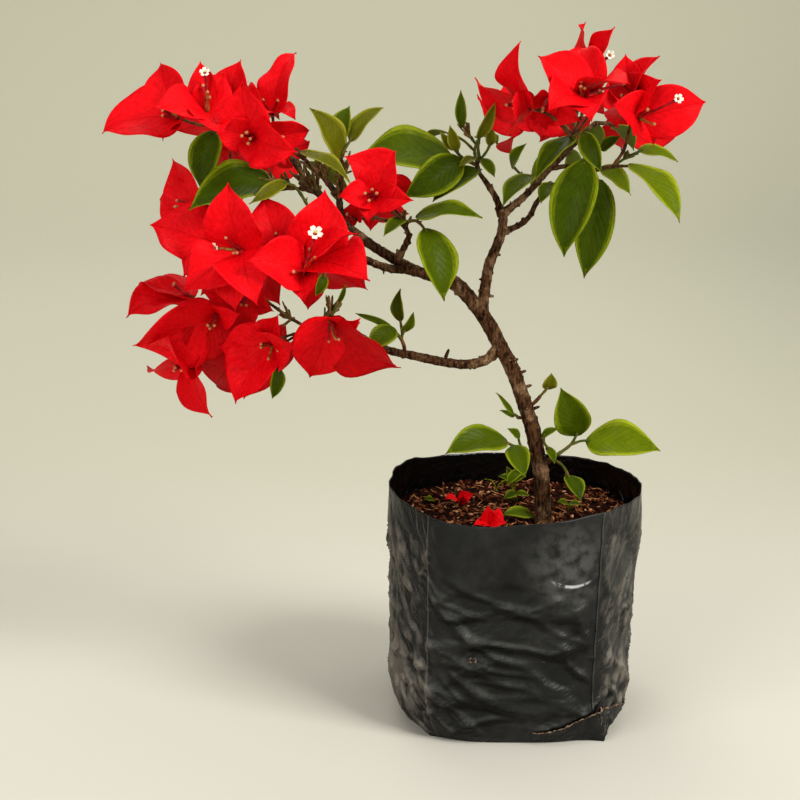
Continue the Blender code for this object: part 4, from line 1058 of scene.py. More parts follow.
class Lamina:
    """One leaf or bract in its place. It starts out along a direction, bends away from its upper face
    and ends where its kind's even curl would, however its own folds, waves and twist run."""

    def __init__(self, form, length, base, along, upper, rng, roll=0.0, shrink=1.0):
        self.form, self.length = form, length * shrink
        upper = Matrix.Rotation(roll, 3, along) @ upper
        across = upper.cross(along).normalized()
        lift = along.cross(across).normalized()
        radius = self.length / form.bend
        tip = base + along * radius * math.sin(form.bend) - lift * radius * (1 - math.cos(form.bend))
        bend, hook = form.bend * rng.uniform(0.75, 1.25), form.hook * rng.uniform(-0.4, 1.0)
        self.ribs, place = [], Vector()
        for step in range(RIB_STEPS + 1):
            share = step / RIB_STEPS
            turned = bend * share + hook * max(0.0, share - 0.6) * 2.5
            heading = along * math.cos(turned) - lift * math.sin(turned)
            self.ribs.append((place, along * math.sin(turned) + lift * math.cos(turned)))
            place = place + heading * self.length / RIB_STEPS
        end = self.ribs[-1][0]
        turn, scale = end.rotation_difference(tip - base), (tip - base).length / end.length
        self.ribs = [(base + turn @ rib * scale, turn @ normal) for rib, normal in self.ribs]
        self.across = turn @ across
        self.waves = [(rng.uniform(1.1, 2.1), rng.random(), rng.uniform(0.5, 1.3)) for _ in range(2)]
        self.twist, self.sway = rng.uniform(-0.3, 0.3), rng.uniform(-0.05, 0.05)
        self.seed = rng.uniform(0, 99)

    def rib(self, share):
        step = min(RIB_STEPS - 1, int(share * RIB_STEPS))
        part = share * RIB_STEPS - step
        (start, before), (stop, after) = self.ribs[step:step + 2]
        return start.lerp(stop, part), before.lerp(after, part)

    def place(self, across, along):
        """A place on the blade, from its left edge to its right and from its foot to its tip."""
        centre, normal = self.rib(along)
        twisted = Matrix.Rotation(self.twist * along, 3, self.across.cross(normal))
        turned, normal = twisted @ self.across, twisted @ normal
        side = 2 * across - 1
        width = self.length * self.form.aspect / 2 * self.form.outline(along)
        lift = self.form.cup * width * (0.65 * abs(side) + 0.35 * side * side)
        lift *= min(1.0, along / self.form.widest)
        waves, phase, amount = self.waves[side > 0]
        wave = math.sin(2 * math.pi * (waves * along + phase)) * math.sin(math.pi * along) ** 0.5
        lift += self.form.ruffle * amount * self.length * abs(side) ** 2.2 * wave
        crumple = noise.noise(Vector((side * 1.7, along * 3.4, self.seed)))
        lift += 0.022 * self.length * crumple * min(1, along * 4)
        away = side * width + self.sway * self.length * along * along * (1 - along) * 4
        return centre + turned * away + normal * lift

    def sheet(self):
        """The blade on its own, for finding out what it runs through."""
        bm = new_shape()
        add_sheet(bm, 6, 10, self.place)
        tree = BVHTree.FromBMesh(bm)
        bm.free()
        return tree


# what grows at the end of a twig: its laminas, and where the twig arrives, which way and how thick.
# bloom is a bloom's (hub, axis), or None for a leaf. mark is its (mass, number, whether it's near).
Growth = namedtuple("Growth", "laminas goal arrival radius bloom mark")


def tree_of(mesh):
    """A search tree of a mesh's faces."""
    return BVHTree.FromPolygons(
        [vert.co for vert in mesh.vertices], [face.vertices[:] for face in mesh.polygons])


def runs_through(tree, route):
    return any(tree.ray_cast(start, stop - start, (stop - start).length)[0]
               for start, stop in zip(route, route[1:]))


class Twigs:
    """The twigs of one mass. The stem grows first. Each bloom and leaf then gets a twig from the node
    that gives it the shortest and straightest way back to the stem's foot."""

    def __init__(self, foot, heading, seed, stem_radius):
        self.places, self.headings, self.travelled, self.parents = [foot], [heading], [0.0], [None]
        self.loads, self.runs, self.ends = [0], [], {}
        self.rng = random.Random(seed)
        self.stem_radius = stem_radius * MM

    def route_to(self, start, goal, arrival):
        """A curve from a node to a goal that leaves along its twig and arrives in a direction."""
        place = self.places[start]
        reach = (goal - place).length
        leaving = (self.headings[start] + (goal - place).normalized()).normalized()
        count = max(3, round(reach / (TWIG_SPAN * MM)) + 1)
        handles = place + leaving * reach * TWIG_EASE, goal - arrival * reach * TWIG_EASE
        route = geometry.interpolate_bezier(place, *handles, goal, count)
        for point in route[1:-1]:
            point += Vector([self.rng.uniform(-1, 1) for _ in range(3)]) * TWIG_WOBBLE * MM
        return route

    def starts_for(self, goal):
        """Node numbers, from the best to leave from for this goal to the worst."""
        def cost(node):
            way = goal - self.places[node]
            sharp = max(0.0, self.headings[node].angle(way, 0.0) - EASY_TURN) * SHARPNESS_COST * MM
            return way.length + DETOUR * self.travelled[node] + sharp
        return sorted(range(1, len(self.places)), key=cost)[:STARTS_TRIED]

    def add(self, start, route, end_radius, mark):
        """Keeps a route as a twig and loads every node between it and the stem's foot."""
        run = [start]
        for before, place in zip(route, route[1:]):
            self.parents.append(run[-1])
            self.travelled.append(self.travelled[run[-1]] + (place - before).length)
            self.places.append(place)
            self.headings.append((place - before).normalized())
            self.loads.append(0)
            run.append(len(self.places) - 1)
        self.runs.append((run, mark))
        self.ends[run[-1]] = end_radius
        node = run[-1]
        while node is not None:
            self.loads[node] += 1
            node = self.parents[node]

    def radius(self, node):
        return min(TWIG_RADIUS * MM * self.loads[node] ** TWIG_POWER, self.stem_radius)


def stem_start(mass, limb_tree):
    """Where a mass's stem starts and its heading: at its bough's tip, or square to the limb's side."""
    points = [metres(point) for point in LIMBS[mass.limb][0]]
    if not mass.side:
        heading = (points[-1] - points[-2]).normalized()
        return points[-1], heading
    middle = metres(mass.side)
    goal = sum((metres(leaf[0]) for leaf in mass.leaves), Vector()) / len(mass.leaves)
    outward = (goal - middle).normalized()
    surface, heading, _, _ = limb_tree.ray_cast(middle + outward * PROBE * MM, -outward)
    return surface, heading.lerp(outward, 0.5).normalized()


def leaf_growth(base, tip, upper, mark, width=1.0):
    """A leaf between two points. width is a share of the usual one."""
    chord = tip - base
    half_bend = LEAF.bend / 2
    sideways = upper.cross(chord).normalized()
    along = (Matrix.Rotation(-half_bend, 3, sideways) @ chord).normalized()
    length = chord.length * half_bend / math.sin(half_bend)
    lamina = (LEAF.widened(width), length, base, along, along.cross(sideways))
    return Growth([lamina], base + along * PETIOLE_OVERLAP * MM, along, PETIOLE_RADIUS, None, mark)


def bloom_growth(hub, facing, bracts, size, mirror, mark):
    """Bracts round a hub. mirror turns a direction over for a bloom on the far side of its mass."""
    axis = facing.normalized()
    top = (UP - axis * UP.dot(axis)).normalized()
    right = top.cross(axis)
    laminas = []
    for angle, length, *way in bracts:
        roll, opening, width = (*way, *(0, BRACT_OPENING, 1.0)[len(way):])
        turn, roll, opening = math.radians(angle), math.radians(roll), math.radians(opening)
        out, forward = math.sin(opening), math.cos(opening)
        radial = right * math.cos(turn) + top * math.sin(turn)
        heading = radial * out + axis * forward
        along = mirror(heading)
        upper = mirror(Matrix.Rotation(roll, 3, heading) @ (axis * out - radial * forward))
        base = hub - along * BRACT_SINK * MM
        laminas.append((BRACT.widened(width), length * size * MM, base, along, upper))
    axis = mirror(axis)
    return Growth(laminas, hub + axis * HUB_RISE * MM, axis, HUB_RADIUS, (hub, axis), mark)


def growths(name, mass, foot):
    """Every bloom and leaf of a mass, nearest first, then their twins on its far side."""
    normal = Vector((0, math.cos(TWIN_LEAN), -math.sin(TWIN_LEAN)))
    middle = Vector((foot.x, mass.depth * MM, foot.z))

    def mirror(place):
        return place - 2 * (place - middle).dot(normal) * normal

    def over(direction):
        return direction - 2 * direction.dot(normal) * normal

    def by_distance(found):
        return sorted(found, key=lambda growth: (growth.goal - foot).length)

    def twinned(place):
        return mirror(place).y - place.y > TWIN_FROM * MM

    near, far = [], []
    for number, (hub, facing, bracts) in enumerate(mass.blooms):
        hub, facing = metres(hub), Vector(facing)
        near.append(bloom_growth(hub, facing, bracts, 1.0, Vector, (name, number, True)))
        if twinned(hub):
            far.append(bloom_growth(mirror(hub), facing, bracts, TWIN_SIZE, over, (name, number, False)))
    for number, (base, tip, upper, *width) in enumerate(mass.leaves):
        base, tip, upper = metres(base), metres(tip), Vector(upper)
        near.append(leaf_growth(base, tip, upper, (name, number, True), *width))
        if twinned(base) and (name, number) not in TWINLESS:
            far.append(leaf_growth(mirror(base), mirror(tip), over(upper), (name, number, False), *width))
    return by_distance(near) + by_distance(far)


def settle(lamina, near, limb_trees, kept_trees, rng):
    """Lays a lamina where it runs through nothing, rolled or shortened a little if it must be. A near
    one that finds no room lies across its neighbours, unless it meets wood. A far one is left out."""
    for roll, shrink in ((0, 1), (0.25, 1), (-0.25, 1), (0.5, 0.95), (-0.5, 0.95), (0.2, 0.85), (-0.2, 0.85)):
        found = Lamina(*lamina, rng, roll, shrink)
        tree = found.sheet()
        meets_wood = any(tree.overlap(wood) for wood in limb_trees)
        if not meets_wood and not any(tree.overlap(other) for other in kept_trees):
            return found, tree
        if not roll:
            first = None if meets_wood else (found, tree)
    return first if near else None


wood_trees = [tree_of(limbs.data)]
kept_growths, kept_trees, all_twigs = [], [], []
for name, mass in MASSES.items():
    foot, heading = stem_start(mass, wood_trees[0])
    rng = random.Random(mass.seed)
    grown = growths(name, mass, foot)
    twigs = Twigs(foot, heading, mass.seed, mass.stem)
    middle = sum((growth.goal for growth in grown), Vector()) / len(grown)
    stem_end = foot.lerp(middle, STEM_SHARE)
    twigs.add(0, twigs.route_to(0, stem_end, (stem_end - foot).normalized()), 0.0, None)
    mass_trees = []
    for growth in grown:
        near = growth.mark[2]
        settled = [settle(lamina, near, wood_trees, kept_trees + mass_trees, rng)
                   for lamina in growth.laminas]
        settled = [found for found in settled if found]
        starts = twigs.starts_for(growth.goal)
        routes = [(start, twigs.route_to(start, growth.goal, growth.arrival)) for start in starts]
        routes = [(start, route) for start, route in routes if not runs_through(wood_trees[0], route[1:])]
        if settled and routes:
            start, route = min(
                routes, key=lambda found: sum(runs_through(tree, found[1]) for tree in mass_trees))
            twigs.add(start, route, growth.radius * MM, growth.mark)
            mass_trees += [tree for _, tree in settled]
            kept_growths.append(growth._replace(laminas=[found for found, _ in settled]))
    kept_trees += mass_trees
    all_twigs.append(twigs)

twig_bark = Finish("twig bark", (0.07, 0.03, 0.012), 0.75, Specular_IOR_Level=0.1)
twig_streaks = twig_bark.noise(1.2, 4, 0.6, (1, 1, 3))
twig_bark.set("Base Color", twig_bark.blend(
    twig_streaks.between(0.35, 0.65), (0.020, 0.008, 0.003), (0.13, 0.062, 0.024)))
twig_bark.bump(twig_streaks, 0.35)
young_twig = mottled(
    "green twig", 0.55, 0.1, (6, 3), 0.4, 0.62, (0.050, 0.075, 0.006), (0.12, 0.085, 0.015))
red_twig = mottled(
    "reddish twig", 0.6, 0.1, (5, 3), 0.4, 0.62, (0.05, 0.016, 0.006), (0.16, 0.060, 0.016))
stub_tan = mottled(
    "old flower stalk", 0.7, 0.1, (3, 3), 0.4, 0.62, (0.105, 0.050, 0.014), (0.235, 0.150, 0.050))

TWIG_STATION = 1.5
JOINT_SWELLING, JOINT_SPACING = 0.22, 8.5
SPUR_CHANCE = 0.45
SPUR_RADII = (0.55, 0.5, 0.42, 0.15)
STUB_RADII = (1.3, 1.05, 0.95, 1.0, 0.95, 0.5)
STUB_SHARES = (0, 0.2, 0.45, 0.7, 0.9, 1.0)
BARK_KIND, GREEN_KIND, RED_KIND, TAN_KIND = range(4)
# where old blooms fell and left a brush of stubs: a place near the wood, how many, how long
BRUSHES = (
    ((-112, -8, 296), 16, 11), ((-121, -6, 287), 13, 10), ((-100, -10, 303), 14, 11),
    ((-131, -4, 298), 12, 9), ((-98, -32, 231), 14, 9), ((-127, -22, 228), 10, 8), ((-60, -18, 277), 8, 6),
    ((-30, 0, 317), 9, 7), ((-100, 20, 292), 12, 10), ((-90, 4, 300), 13, 10), ((52, 0, 318), 7, 6),
    ((-95, -4, 226), 8, 7), ((-105, 2, 285), 12, 10), ((-86, -6, 290), 10, 8))

shape = new_shape()
rng = random.Random(29)
for twigs in all_twigs:
    for run, mark in twigs.runs:
        coarse = [twigs.places[node] for node in run]
        if mark is None:
            coarse[0] = coarse[0] - twigs.headings[0] * 1.5 * MM
        route = smooth_route(coarse, TWIG_STATION * MM)
        travelled = distances(route)
        length = travelled[-1]
        thick, thin = twigs.radius(run[1]), twigs.radius(run[-1])
        end = twigs.ends[run[-1]]
        joints = [rng.uniform(2, 5) * MM]
        while joints[-1] < length - 4 * MM:
            joints.append(joints[-1] + JOINT_SPACING * rng.uniform(0.6, 1.3) * MM)

        def twig_radius(station, outward):
            distance = travelled[station]
            size = thick + (thin - thick) * (distance / length) ** 0.8
            if end:
                near_end = max(0.0, 1 - (length - distance) / (4 * MM))
                size += (end - size) * near_end ** 1.5
            for joint in joints:
                size += JOINT_SWELLING * MM * math.exp(-((distance - joint) / (0.8 * MM)) ** 2)
            return size * (1 + 0.06 * noise.noise(route[station] / MM / 3 + outward * 2))

        kind = BARK_KIND if thick > 1.05 * MM else GREEN_KIND if end == PETIOLE_RADIUS * MM else RED_KIND
        add_tube(shape, route, 7, twig_radius, kind)
        for joint in joints:
            if rng.random() < SPUR_CHANCE and joint < length - 3 * MM:
                station = min(range(1, len(route) - 1), key=lambda index: abs(travelled[index] - joint))
                along = (route[station + 1] - route[station - 1]).normalized()
                turned = Matrix.Rotation(rng.uniform(0, FULL_TURN), 3, along)
                outward = turned @ along.orthogonal().normalized()
                lean = (outward + along * rng.uniform(0.3, 1.2)).normalized()
                reach = rng.uniform(0.8, 2.6) * MM
                spur = [route[station] + outward * thin * 0.3 + lean * reach * step / 3
                        for step in range(len(SPUR_RADII))]
                add_tube(shape, spur, 5, lambda step, _: SPUR_RADII[step] * MM, kind)
wood = [node for twigs in all_twigs for node in zip(twigs.places[1:], twigs.headings[1:])]
for near, number, reach in BRUSHES:
    place, heading = min(wood, key=lambda node: (node[0] - metres(near)).length)
    for _ in range(number):
        outward = Matrix.Rotation(rng.uniform(0, FULL_TURN), 3, heading) @ heading.orthogonal().normalized()
        lean = (outward * 0.8 + heading * rng.uniform(0.2, 1.3) + UP * rng.uniform(0, 0.5)).normalized()
        root, length = place + heading * rng.uniform(-2.5, 2.5) * MM, reach * rng.uniform(0.4, 1.0) * MM
        bow = (heading + UP) * rng.uniform(-0.1, 0.35) * length
        stub = [root + lean * length * share + bow * share * share for share in STUB_SHARES]
        stout = rng.uniform(0.5, 1.0)
        kind = rng.choice((BARK_KIND, TAN_KIND, TAN_KIND, TAN_KIND, GREEN_KIND))
        add_tube(shape, stub, 6, lambda step, _: stout * STUB_RADII[step] * MM, kind)
bmesh.ops.recalc_face_normals(shape, faces=shape.faces)
twig_piece = make_piece("twigs", shape, twig_bark, young_twig, red_twig, stub_tan)
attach(twig_piece, "root")
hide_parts(*MASSES)

# ================================================================ leaves
# Small pointed leaves, thinly scattered. Each has a deep green heart that pales through mid-green to a
# yellow-green margin, a pale midrib, and a duller underside. Some leaves are a darker green, partly as
# painted shade where they lie in shadow, and young ones are fresh.

LEAF_COLUMNS, LEAF_ROWS, LEAF_THICKNESS = 14, 18, 0.3
RIB_WIDTH, HEART_WIDTH, FLANK_WIDTH = 0.06, 0.71, 0.86  # shares of the half-width where each tone ends
# a leaf's tones: heart, flank, margin
LEAF_TONES = {
    "deep": ((0.031, 0.053, 0.0003), (0.062, 0.090, 0.0006), (0.190, 0.230, 0.004)),
    "green": ((0.052, 0.079, 0.0004), (0.086, 0.122, 0.0008), (0.225, 0.265, 0.008)),
    "fresh": ((0.100, 0.141, 0.001), (0.155, 0.200, 0.002), (0.310, 0.345, 0.015)),
    "olive": ((0.100, 0.102, 0.003), (0.155, 0.155, 0.005), (0.290, 0.270, 0.022))}
RIB_TONE = (0.170, 0.210, 0.020)
UNDERSIDE = (0.130, 0.160, 0.020)
MASS_TONES = {"crown_upper_middle": "olive", "crown_right": "deep", "crown_right_low": "green"}
# near leaves with a tone of their own, by number in their mass
# 'deep' is a darker green, used partly as painted shade on leaves that lie in shadow
LEAF_TONE = {
    "crown_left_front": {0: "deep", 1: "olive"},
    "crown_top_left": {0: "olive", 1: "olive", 2: "green", 3: "olive", 4: "deep"},
    "crown_upper_middle": {0: "green", 3: "green", 4: "deep", 5: "deep", 9: "green", 10: "green"},
    "crown_right": {2: "fresh", 3: "fresh", 6: "fresh"},
    "shoot_trunk_right": {0: "olive"},
    "shoot_base_right": {1: "fresh"}}
ZONES = "heart", "flank", "margin"


def make_leaf_finish(name, tone, other):
    """Satin, with veins that run out from the midrib and faint mottling."""
    finish = Finish(name, tone, 0.36, Specular_IOR_Level=0.05)
    across, along = finish.across_and_along()
    out = (across - 0.5).maths("ABSOLUTE")
    veins = ((along * 9 - out * 7).maths("FRACT") - 0.5).maths("ABSOLUTE").between(0.14, 0.02)
    mottle = finish.noise(4, 4).between(0.35, 0.7)
    plain = finish.blend(mottle, tone, other)
    vein_tone = tuple(min(1, 1.6 * part + 0.004) for part in tone)
    finish.set("Base Color", finish.blend(veins * 0.13, plain, vein_tone))
    finish.bump((1 - veins) * 0.5 + finish.noise(2.5, 3) * 0.4, 0.4)
    return finish


def mixed(tone, other, share):
    return tuple(part + (target - part) * share for part, target in zip(tone, other))


leaf_finishes, under_finishes = [], []
for family, tones in LEAF_TONES.items():
    for zone, tone, other in zip(ZONES, tones, (tones[1], tones[2], tones[1])):
        name = f"{family} leaf {zone}"
        leaf_finishes.append(make_leaf_finish(name, tone, mixed(tone, other, 0.35)))
        pale = mixed(tone, UNDERSIDE, 0.55)
        under_finishes.append(Finish(name + " underside", pale, 0.6, Specular_IOR_Level=0.06))
leaf_finishes.append(make_leaf_finish("leaf midrib", RIB_TONE, (0.22, 0.26, 0.04)))
under_finishes.append(Finish("midrib underside", (0.20, 0.24, 0.04), 0.6, Specular_IOR_Level=0.06))


def add_lamina(bm, lamina, columns, rows, finish_at):
    """Adds a leaf or bract to a joined piece. finish_at gives a face's finish from how far out from the
    midrib it is, 0 to 1, and how far along."""
    add_patch(bm, columns, rows, lambda across, along: lamina.place(1 - across, along),
              lambda across, along: finish_at(abs(2 * across - 1), along))


shape = new_shape()
rng = random.Random(41)
for growth in kept_growths:
    name, number, near = growth.mark
    if growth.bloom:
        continue
    tone = LEAF_TONE.get(name, {}).get(number) if near else None
    tone = tone or MASS_TONES.get(name) or rng.choice(("deep", "green", "green"))
    first = len(ZONES) * list(LEAF_TONES).index(tone)

    def leaf_zone(out, along):
        if out < RIB_WIDTH and along < 0.9:
            return len(leaf_finishes) - 1
        out = max(out, 1.6 * along - 0.75) + rng.uniform(-0.02, 0.02)
        return first + (out > HEART_WIDTH) + (out > FLANK_WIDTH)

    for lamina in growth.laminas:
        add_lamina(shape, lamina, LEAF_COLUMNS, LEAF_ROWS, leaf_zone)
leaves = make_piece("leaves", shape, *leaf_finishes, *under_finishes)
thicken(leaves, LEAF_THICKNESS, back_finishes=len(leaf_finishes))
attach(leaves, "root")
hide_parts(*MASSES)

# ================================================================ bracts
# What looks like a flower's petals are bracts: thin papery leaves, bright red, round each group of
# three flowers. They crinkle between their veins, wave along their edges and end in a drawn-out tip.

BRACT_COLUMNS, BRACT_ROWS, BRACT_THICKNESS = 14, 20, 0.22
# three reds, each with its crinkles' darker tone and its underside's
BRACT_REDS = {
    "scarlet": ((0.85, 0.0030, 0.0085), (0.70, 0.0015, 0.0045), (0.72, 0.0050, 0.0100)),
    "crimson": ((0.76, 0.0018, 0.0060), (0.62, 0.0010, 0.0035), (0.68, 0.0040, 0.0080)),
    "deep red": ((0.58, 0.0010, 0.0035), (0.46, 0.0006, 0.0020), (0.54, 0.0025, 0.0050))}
# the lower crown hangs under the rest and gets more deep red bracts: partly darker bracts, partly painted
# shade
DEEPER_SHADED_MASSES = ("crown_low_left",)


def make_bract_finish(name, light, dark):
    """Papery: fine veins that branch from the midrib, and crinkles."""
    finish = Finish(name, light, 0.5, Specular_IOR_Level=0.05)
    across, along = finish.across_and_along()
    out = (across - 0.5).maths("ABSOLUTE")
    wander = finish.noise(3, 3) * 0.12
    veins = ((along * 8 - out * 8 + wander * 4).maths("FRACT") - 0.5).maths("ABSOLUTE").between(0.12, 0.02)
    rib = out.between(0.02, 0.006)
    crinkle = finish.noise(2.6, 4, 0.6)
    tone = finish.blend(crinkle.between(0.35, 0.68), dark, light)
    lines = (veins * 0.3).maths("MAXIMUM", rib * 0.6)
    finish.set("Base Color", finish.blend(lines, tone, tuple(part * 0.8 for part in dark)))
    finish.bump(crinkle * 0.6 + (1 - veins) * 0.25 + (1 - rib) * 0.4, 0.5, 0.8)
    return finish


bract_finishes, bract_unders = [], []
for name, (light, dark, under) in BRACT_REDS.items():
    bract_finishes.append(make_bract_finish(f"{name} bract", light, dark))
    bract_unders.append(make_bract_finish(f"{name} bract underside", under, dark))
shape = new_shape()
rng = random.Random(53)
for growth in kept_growths:
    if not growth.bloom:
        continue
    odds = (0, 0, 0, 1, 2) if growth.mark[0] in DEEPER_SHADED_MASSES else (0, 0, 0, 1)
    for lamina in growth.laminas:
        red = rng.choice(odds)
        add_lamina(shape, lamina, BRACT_COLUMNS, BRACT_ROWS, lambda out, along: red)
bracts = make_piece("bracts", shape, *bract_finishes, *bract_unders)
thicken(bracts, BRACT_THICKNESS, back_finishes=len(bract_finishes))
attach(bracts, "root")
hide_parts(*MASSES)

# ================================================================ fallen bracts and weeds
# Two spent blooms have fallen on the compost, where their bracts still hold together. Round them some
# seedlings have come up, each a leaf or a pair of them on a thin stalk.

# (base, tip, upper face)
FALLEN = (
    ((-30, 20, 110), (-38, 14, 113), (-0.2, -0.5, 0.9)), ((-30, 20, 110), (-22, 18, 115), (-0.3, -0.7, 0.6)),
    ((-29, 20, 110), (-28, 13, 116), (0.1, -0.8, 0.5)), ((-14, -20, 109), (-23, -26, 111), (-0.1, -0.5, 0.9)),
    ((-14, -20, 109), (-5, -26, 112), (0.2, -0.6, 0.8)), ((-15, -19, 109), (-15, -20, 120), (0.0, -0.9, 0.3)),
    ((-13, -19, 109), (-8, -17, 118), (0.4, -0.8, 0.4)))
WEEDS = (
    ((10, -9, 111), (-7, -14, 113), (0.0, -0.5, 0.9)), ((1, 26, 120), (-8, 22, 124), (0.0, -0.7, 0.7)),
    ((1, 26, 120), (8, 22, 124), (0.0, -0.7, 0.7)), ((0, 27, 121), (-3, 25, 129), (0.1, -0.9, 0.2)),
    ((3, 24, 114), (-5, 18, 112), (-0.2, -0.7, 0.6)), ((2, 25, 113), (10, 21, 113), (0.2, -0.6, 0.7)),
    ((31, 8, 112), (24, 3, 115), (-0.1, -0.6, 0.8)), ((31, 8, 112), (38, 3, 113), (0.2, -0.6, 0.8)),
    ((-44, 22, 110), (-50, 17, 112), (-0.1, -0.6, 0.8)), ((40, -22, 109), (46, -27, 112), (0.1, -0.5, 0.8)),
    ((-8, 44, 110), (-15, 47, 115), (-0.2, 0.5, 0.8)), ((-8, 44, 110), (0, 47, 114), (0.2, 0.5, 0.8)))

GROUND = 0.1085  # where the weeds' stalks end, in metres
STALK_RADIUS, STALK_SINK = 0.35, 1.5
WEED_HEART, WEED_FLANK = 0.6, 0.85  # shares of the half-width where each tone ends

rng = random.Random(71)
for name, table, kind, finishes in (
        ("fallen_bracts", FALLEN, BRACT, bract_finishes), ("weeds", WEEDS, LEAF, leaf_finishes)):
    shape = new_shape()
    for base, tip, upper in table:
        growth = leaf_growth(metres(base), metres(tip), Vector(upper), None)
        length, base, along, upper = growth.laminas[0][1:]
        tone = rng.choice((0, 1)) if kind is BRACT else len(ZONES) * rng.choice((0, 1, 1))

        def weed_zone(out, along):
            return tone + (kind is LEAF and out > WEED_HEART) + (kind is LEAF and out > WEED_FLANK)

        add_lamina(shape, Lamina(kind, length, base, along, upper, rng), 8, 10, weed_zone)
        if kind is LEAF:
            stalk = [base + along * MM, base - along * STALK_SINK * MM, Vector((base.x, base.y, GROUND))]
            add_tube(shape, smooth_route(stalk, 1.5 * MM), 5, lambda step, _: STALK_RADIUS * MM, tone + 1)
    piece = make_piece(name, shape, *finishes)
    thicken(piece, BRACT_THICKNESS)
    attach(piece, "root")

# ================================================================ flowers
# The true flowers: three slim ribbed tubes in each bloom, dark red with a swollen foot and a cream or
# greenish tip. A few are open, with a small white star of five notched lobes and a yellow throat.

TUBE_LENGTH, TUBE_RADIUS, TIP_SHARE = 14.5, 1.15, 0.1
TUBE_STEPS, THROAT_SHARE = 12, 0.34
# (mass, bloom): each flower's tip from its hub, right and up, the radius of its star if it is open, and
# maybe how far it comes forward
FLOWERS_SEEN = {
    ("crown_left_front", 0): ((-15.4, 1.7, 3.2), (-9.0, 9.0, 0)),
    ("crown_left_front", 1): ((-3.9, 13.2, 0), (3.0, 5.0, 0)),
    ("crown_left_front", 3): ((6.1, 20.1, 4.3), (6.6, 9.1, 0), (-5.5, 2.2, 0)),
    ("crown_top_left", 1): ((-0.6, 21.5, 3.0), (-1.7, 15.4, 0), (1.1, 12.7, 0)),
    ("crown_top_left", 2): ((-4.6, -1.7, 0), (0.0, -6.0, 0), (3.9, -8.3, 0)),
    ("crown_top_left", 5): ((-4.4, 9.4, 0), (-0.6, 1.1, 0)),
    ("crown_low_left", 3): ((10.5, 6.6, 0), (3.0, -4.0, 0)),
    ("crown_low_left", 4): ((-1.7, -6.1, 0), (3.9, -1.1, 0)),
    ("crown_centre", 1): ((-2.8, 1.1, 0), (6.0, -5.0, 0)),
    ("crown_right", 1): ((9.9, 3.9, 0), (-4.0, -6.0, 0)),
    ("crown_right", 3): ((19.8, 5.0, 0), (6.0, 3.0, 0)),
    ("crown_right", 4): ((6.2, 11.6, 2.8, 16), (-3.0, 9.0, 0)),
    ("crown_right", 5): ((0.0, 4.4, 0), (-6.0, 3.0, 0)),
    ("crown_right", 6): ((18.6, 12.4, 2.8, 20), (4.0, 6.0, 0)),
}
LOBES = 5
LEAN_RANGE = (14, 30)  # how far a flower that isn't in the table leans out from its bloom's axis, in degrees
FAR_STAR, FAR_STAR_CHANCE = 3.6, 0.1  # the open ones on the far side
GREENISH_CHANCE = 0.15
RED_FINISH, GREEN_FINISH, TIP_FINISH = range(3)

tube_red = mottled("flower tube", 0.55, 0.2, (3, 3), 0.4, 0.65, (0.24, 0.003, 0.006), (0.44, 0.007, 0.012))
tube_green = mottled("greenish tube", 0.55, 0.2, (3, 3), 0.4, 0.65, (0.34, 0.05, 0.012), (0.28, 0.24, 0.04))
cream = mottled("flower tip", 0.6, 0.5, (1.5, 2), 0.4, 0.6, (0.58, 0.24, 0.09), (0.42, 0.15, 0.05))
lobe_white = mottled("flower lobe", 0.6, 0.5, (1.2, 3), 0.4, 0.65, (0.88, 0.86, 0.78), (0.74, 0.72, 0.52))
throat = mottled("flower throat", 0.65, 0.5, (0.6, 3), 0.4, 0.6, (0.72, 0.62, 0.22), (0.42, 0.36, 0.07))


def add_flower(bm, hub, tip, seen_open, finish, rng):
    """A ribbed tube from its hub to its tip, where a closed bud is cream."""
    heading = (tip - hub).normalized()
    side = heading.orthogonal().normalized()
    bow = Matrix.Rotation(rng.uniform(0, FULL_TURN), 3, heading) @ side * rng.uniform(0.3, 1.0) * MM
    route = [hub.lerp(tip, step / TUBE_STEPS) + bow * math.sin(math.pi * step / TUBE_STEPS)
             for step in range(TUBE_STEPS + 1)]
    girth = TUBE_RADIUS * rng.uniform(0.85, 1.1) * MM

    def tube_radius(station, outward):
        share = station / TUBE_STEPS
        ribs = 1 + 0.07 * math.cos(5 * math.atan2(outward.dot(side), outward.dot(heading.cross(side))))
        foot, waist = 0.5 + 0.55 * math.exp(-((share - 0.22) / 0.14) ** 2), 0.28 * share
        mouth = 0.28 * math.exp(-((share - 0.95) / 0.1) ** 2)
        size = (foot + waist + mouth) * ribs
        if not seen_open:
            size *= (1, 0.85, 0.3)[max(0, station - TUBE_STEPS + 2)]
        return size * girth

    closed = TUBE_STEPS * (1 - TIP_SHARE)
    add_tube(bm, route, 10, tube_radius,
             lambda station: TIP_FINISH if station > closed and not seen_open else finish)


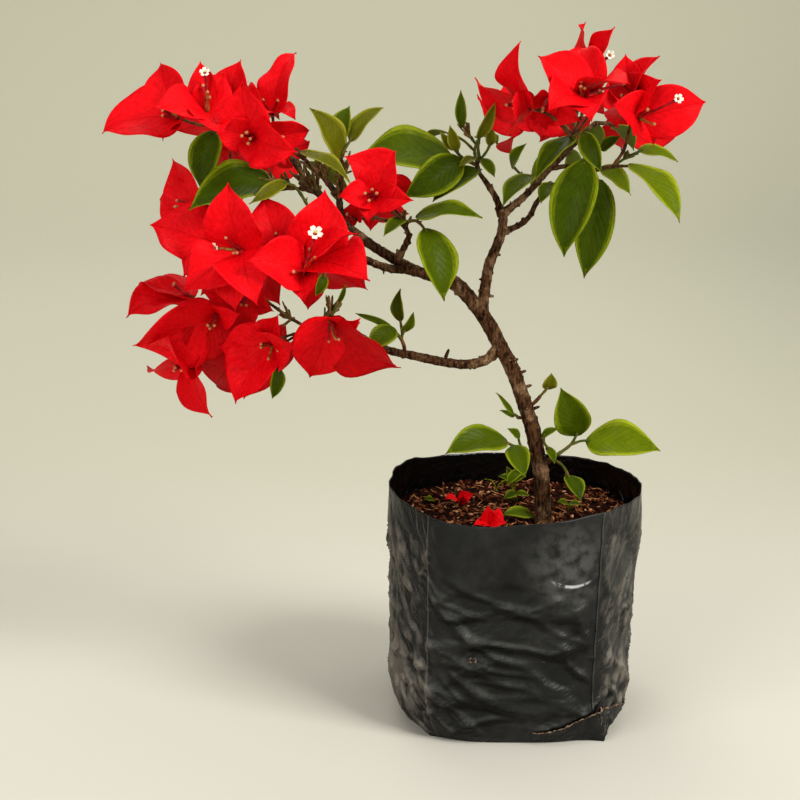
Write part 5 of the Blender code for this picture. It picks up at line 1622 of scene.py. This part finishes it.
def star_place(middle, heading, turn, radius):
    """A star of five broad notched lobes, cupped a little, round its throat."""
    side = Matrix.Rotation(turn, 3, heading) @ heading.orthogonal().normalized()
    lift = heading.cross(side)

    def place(across, along):
        angle = 2 * math.pi * across
        wave = abs(math.cos(LOBES * angle / 2))
        reach = (0.42 + 0.58 * wave ** 0.6) - 0.13 * wave ** 14
        out = radius * MM * along * (1 + (reach - 1) * along ** 0.7)
        rise = radius * MM * (0.22 * along - 0.15 + 0.16 * along * wave)
        return middle + (side * math.cos(angle) + lift * math.sin(angle)) * out + heading * rise
    return place


tubes, stars = new_shape(), new_shape()
rng = random.Random(61)
for growth in kept_growths:
    if not growth.bloom:
        continue
    hub, axis = growth.bloom
    name, number, near = growth.mark
    tips = []
    if near:
        for right, up, star, *forward in FLOWERS_SEEN.get((name, number), ()):
            toward = forward[0] if forward else math.sqrt(max(2.0, TUBE_LENGTH ** 2 - right ** 2 - up ** 2))
            tips.append((hub + metres((right, -toward, up)), star))
    for lamina in growth.laminas[len(tips):]:
        radial = (lamina.ribs[6][0] - hub).normalized()
        lean = math.radians(rng.uniform(*LEAN_RANGE))
        heading = (axis * math.cos(lean) + radial * math.sin(lean)).normalized()
        star = FAR_STAR if not near and rng.random() < FAR_STAR_CHANCE else 0
        tips.append((hub + heading * TUBE_LENGTH * rng.uniform(0.75, 1.0) * MM, star))
    for tip, star in tips:
        finish = GREEN_FINISH if rng.random() < GREENISH_CHANCE else RED_FINISH
        heading = (tip - hub).normalized()
        add_flower(tubes, hub + heading * 0.4 * MM, tip, star, finish, rng)
        if star:
            facing = (heading + Vector((0, -1, 0.3)) * 2).normalized() if near else heading
            add_patch(stars, 60, 8, star_place(tip, facing, rng.uniform(0, 1.2), star),
                      lambda across, along: along < THROAT_SHARE)
bmesh.ops.recalc_face_normals(tubes, faces=tubes.faces)
flower_tubes = make_piece("flower_tubes", tubes, tube_red, tube_green, cream)
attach(flower_tubes, "root")
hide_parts(*MASSES)
flower_stars = make_piece("flower_stars", stars, lobe_white, throat)
thicken(flower_stars, 0.25)
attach(flower_stars, "root")
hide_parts(*MASSES)
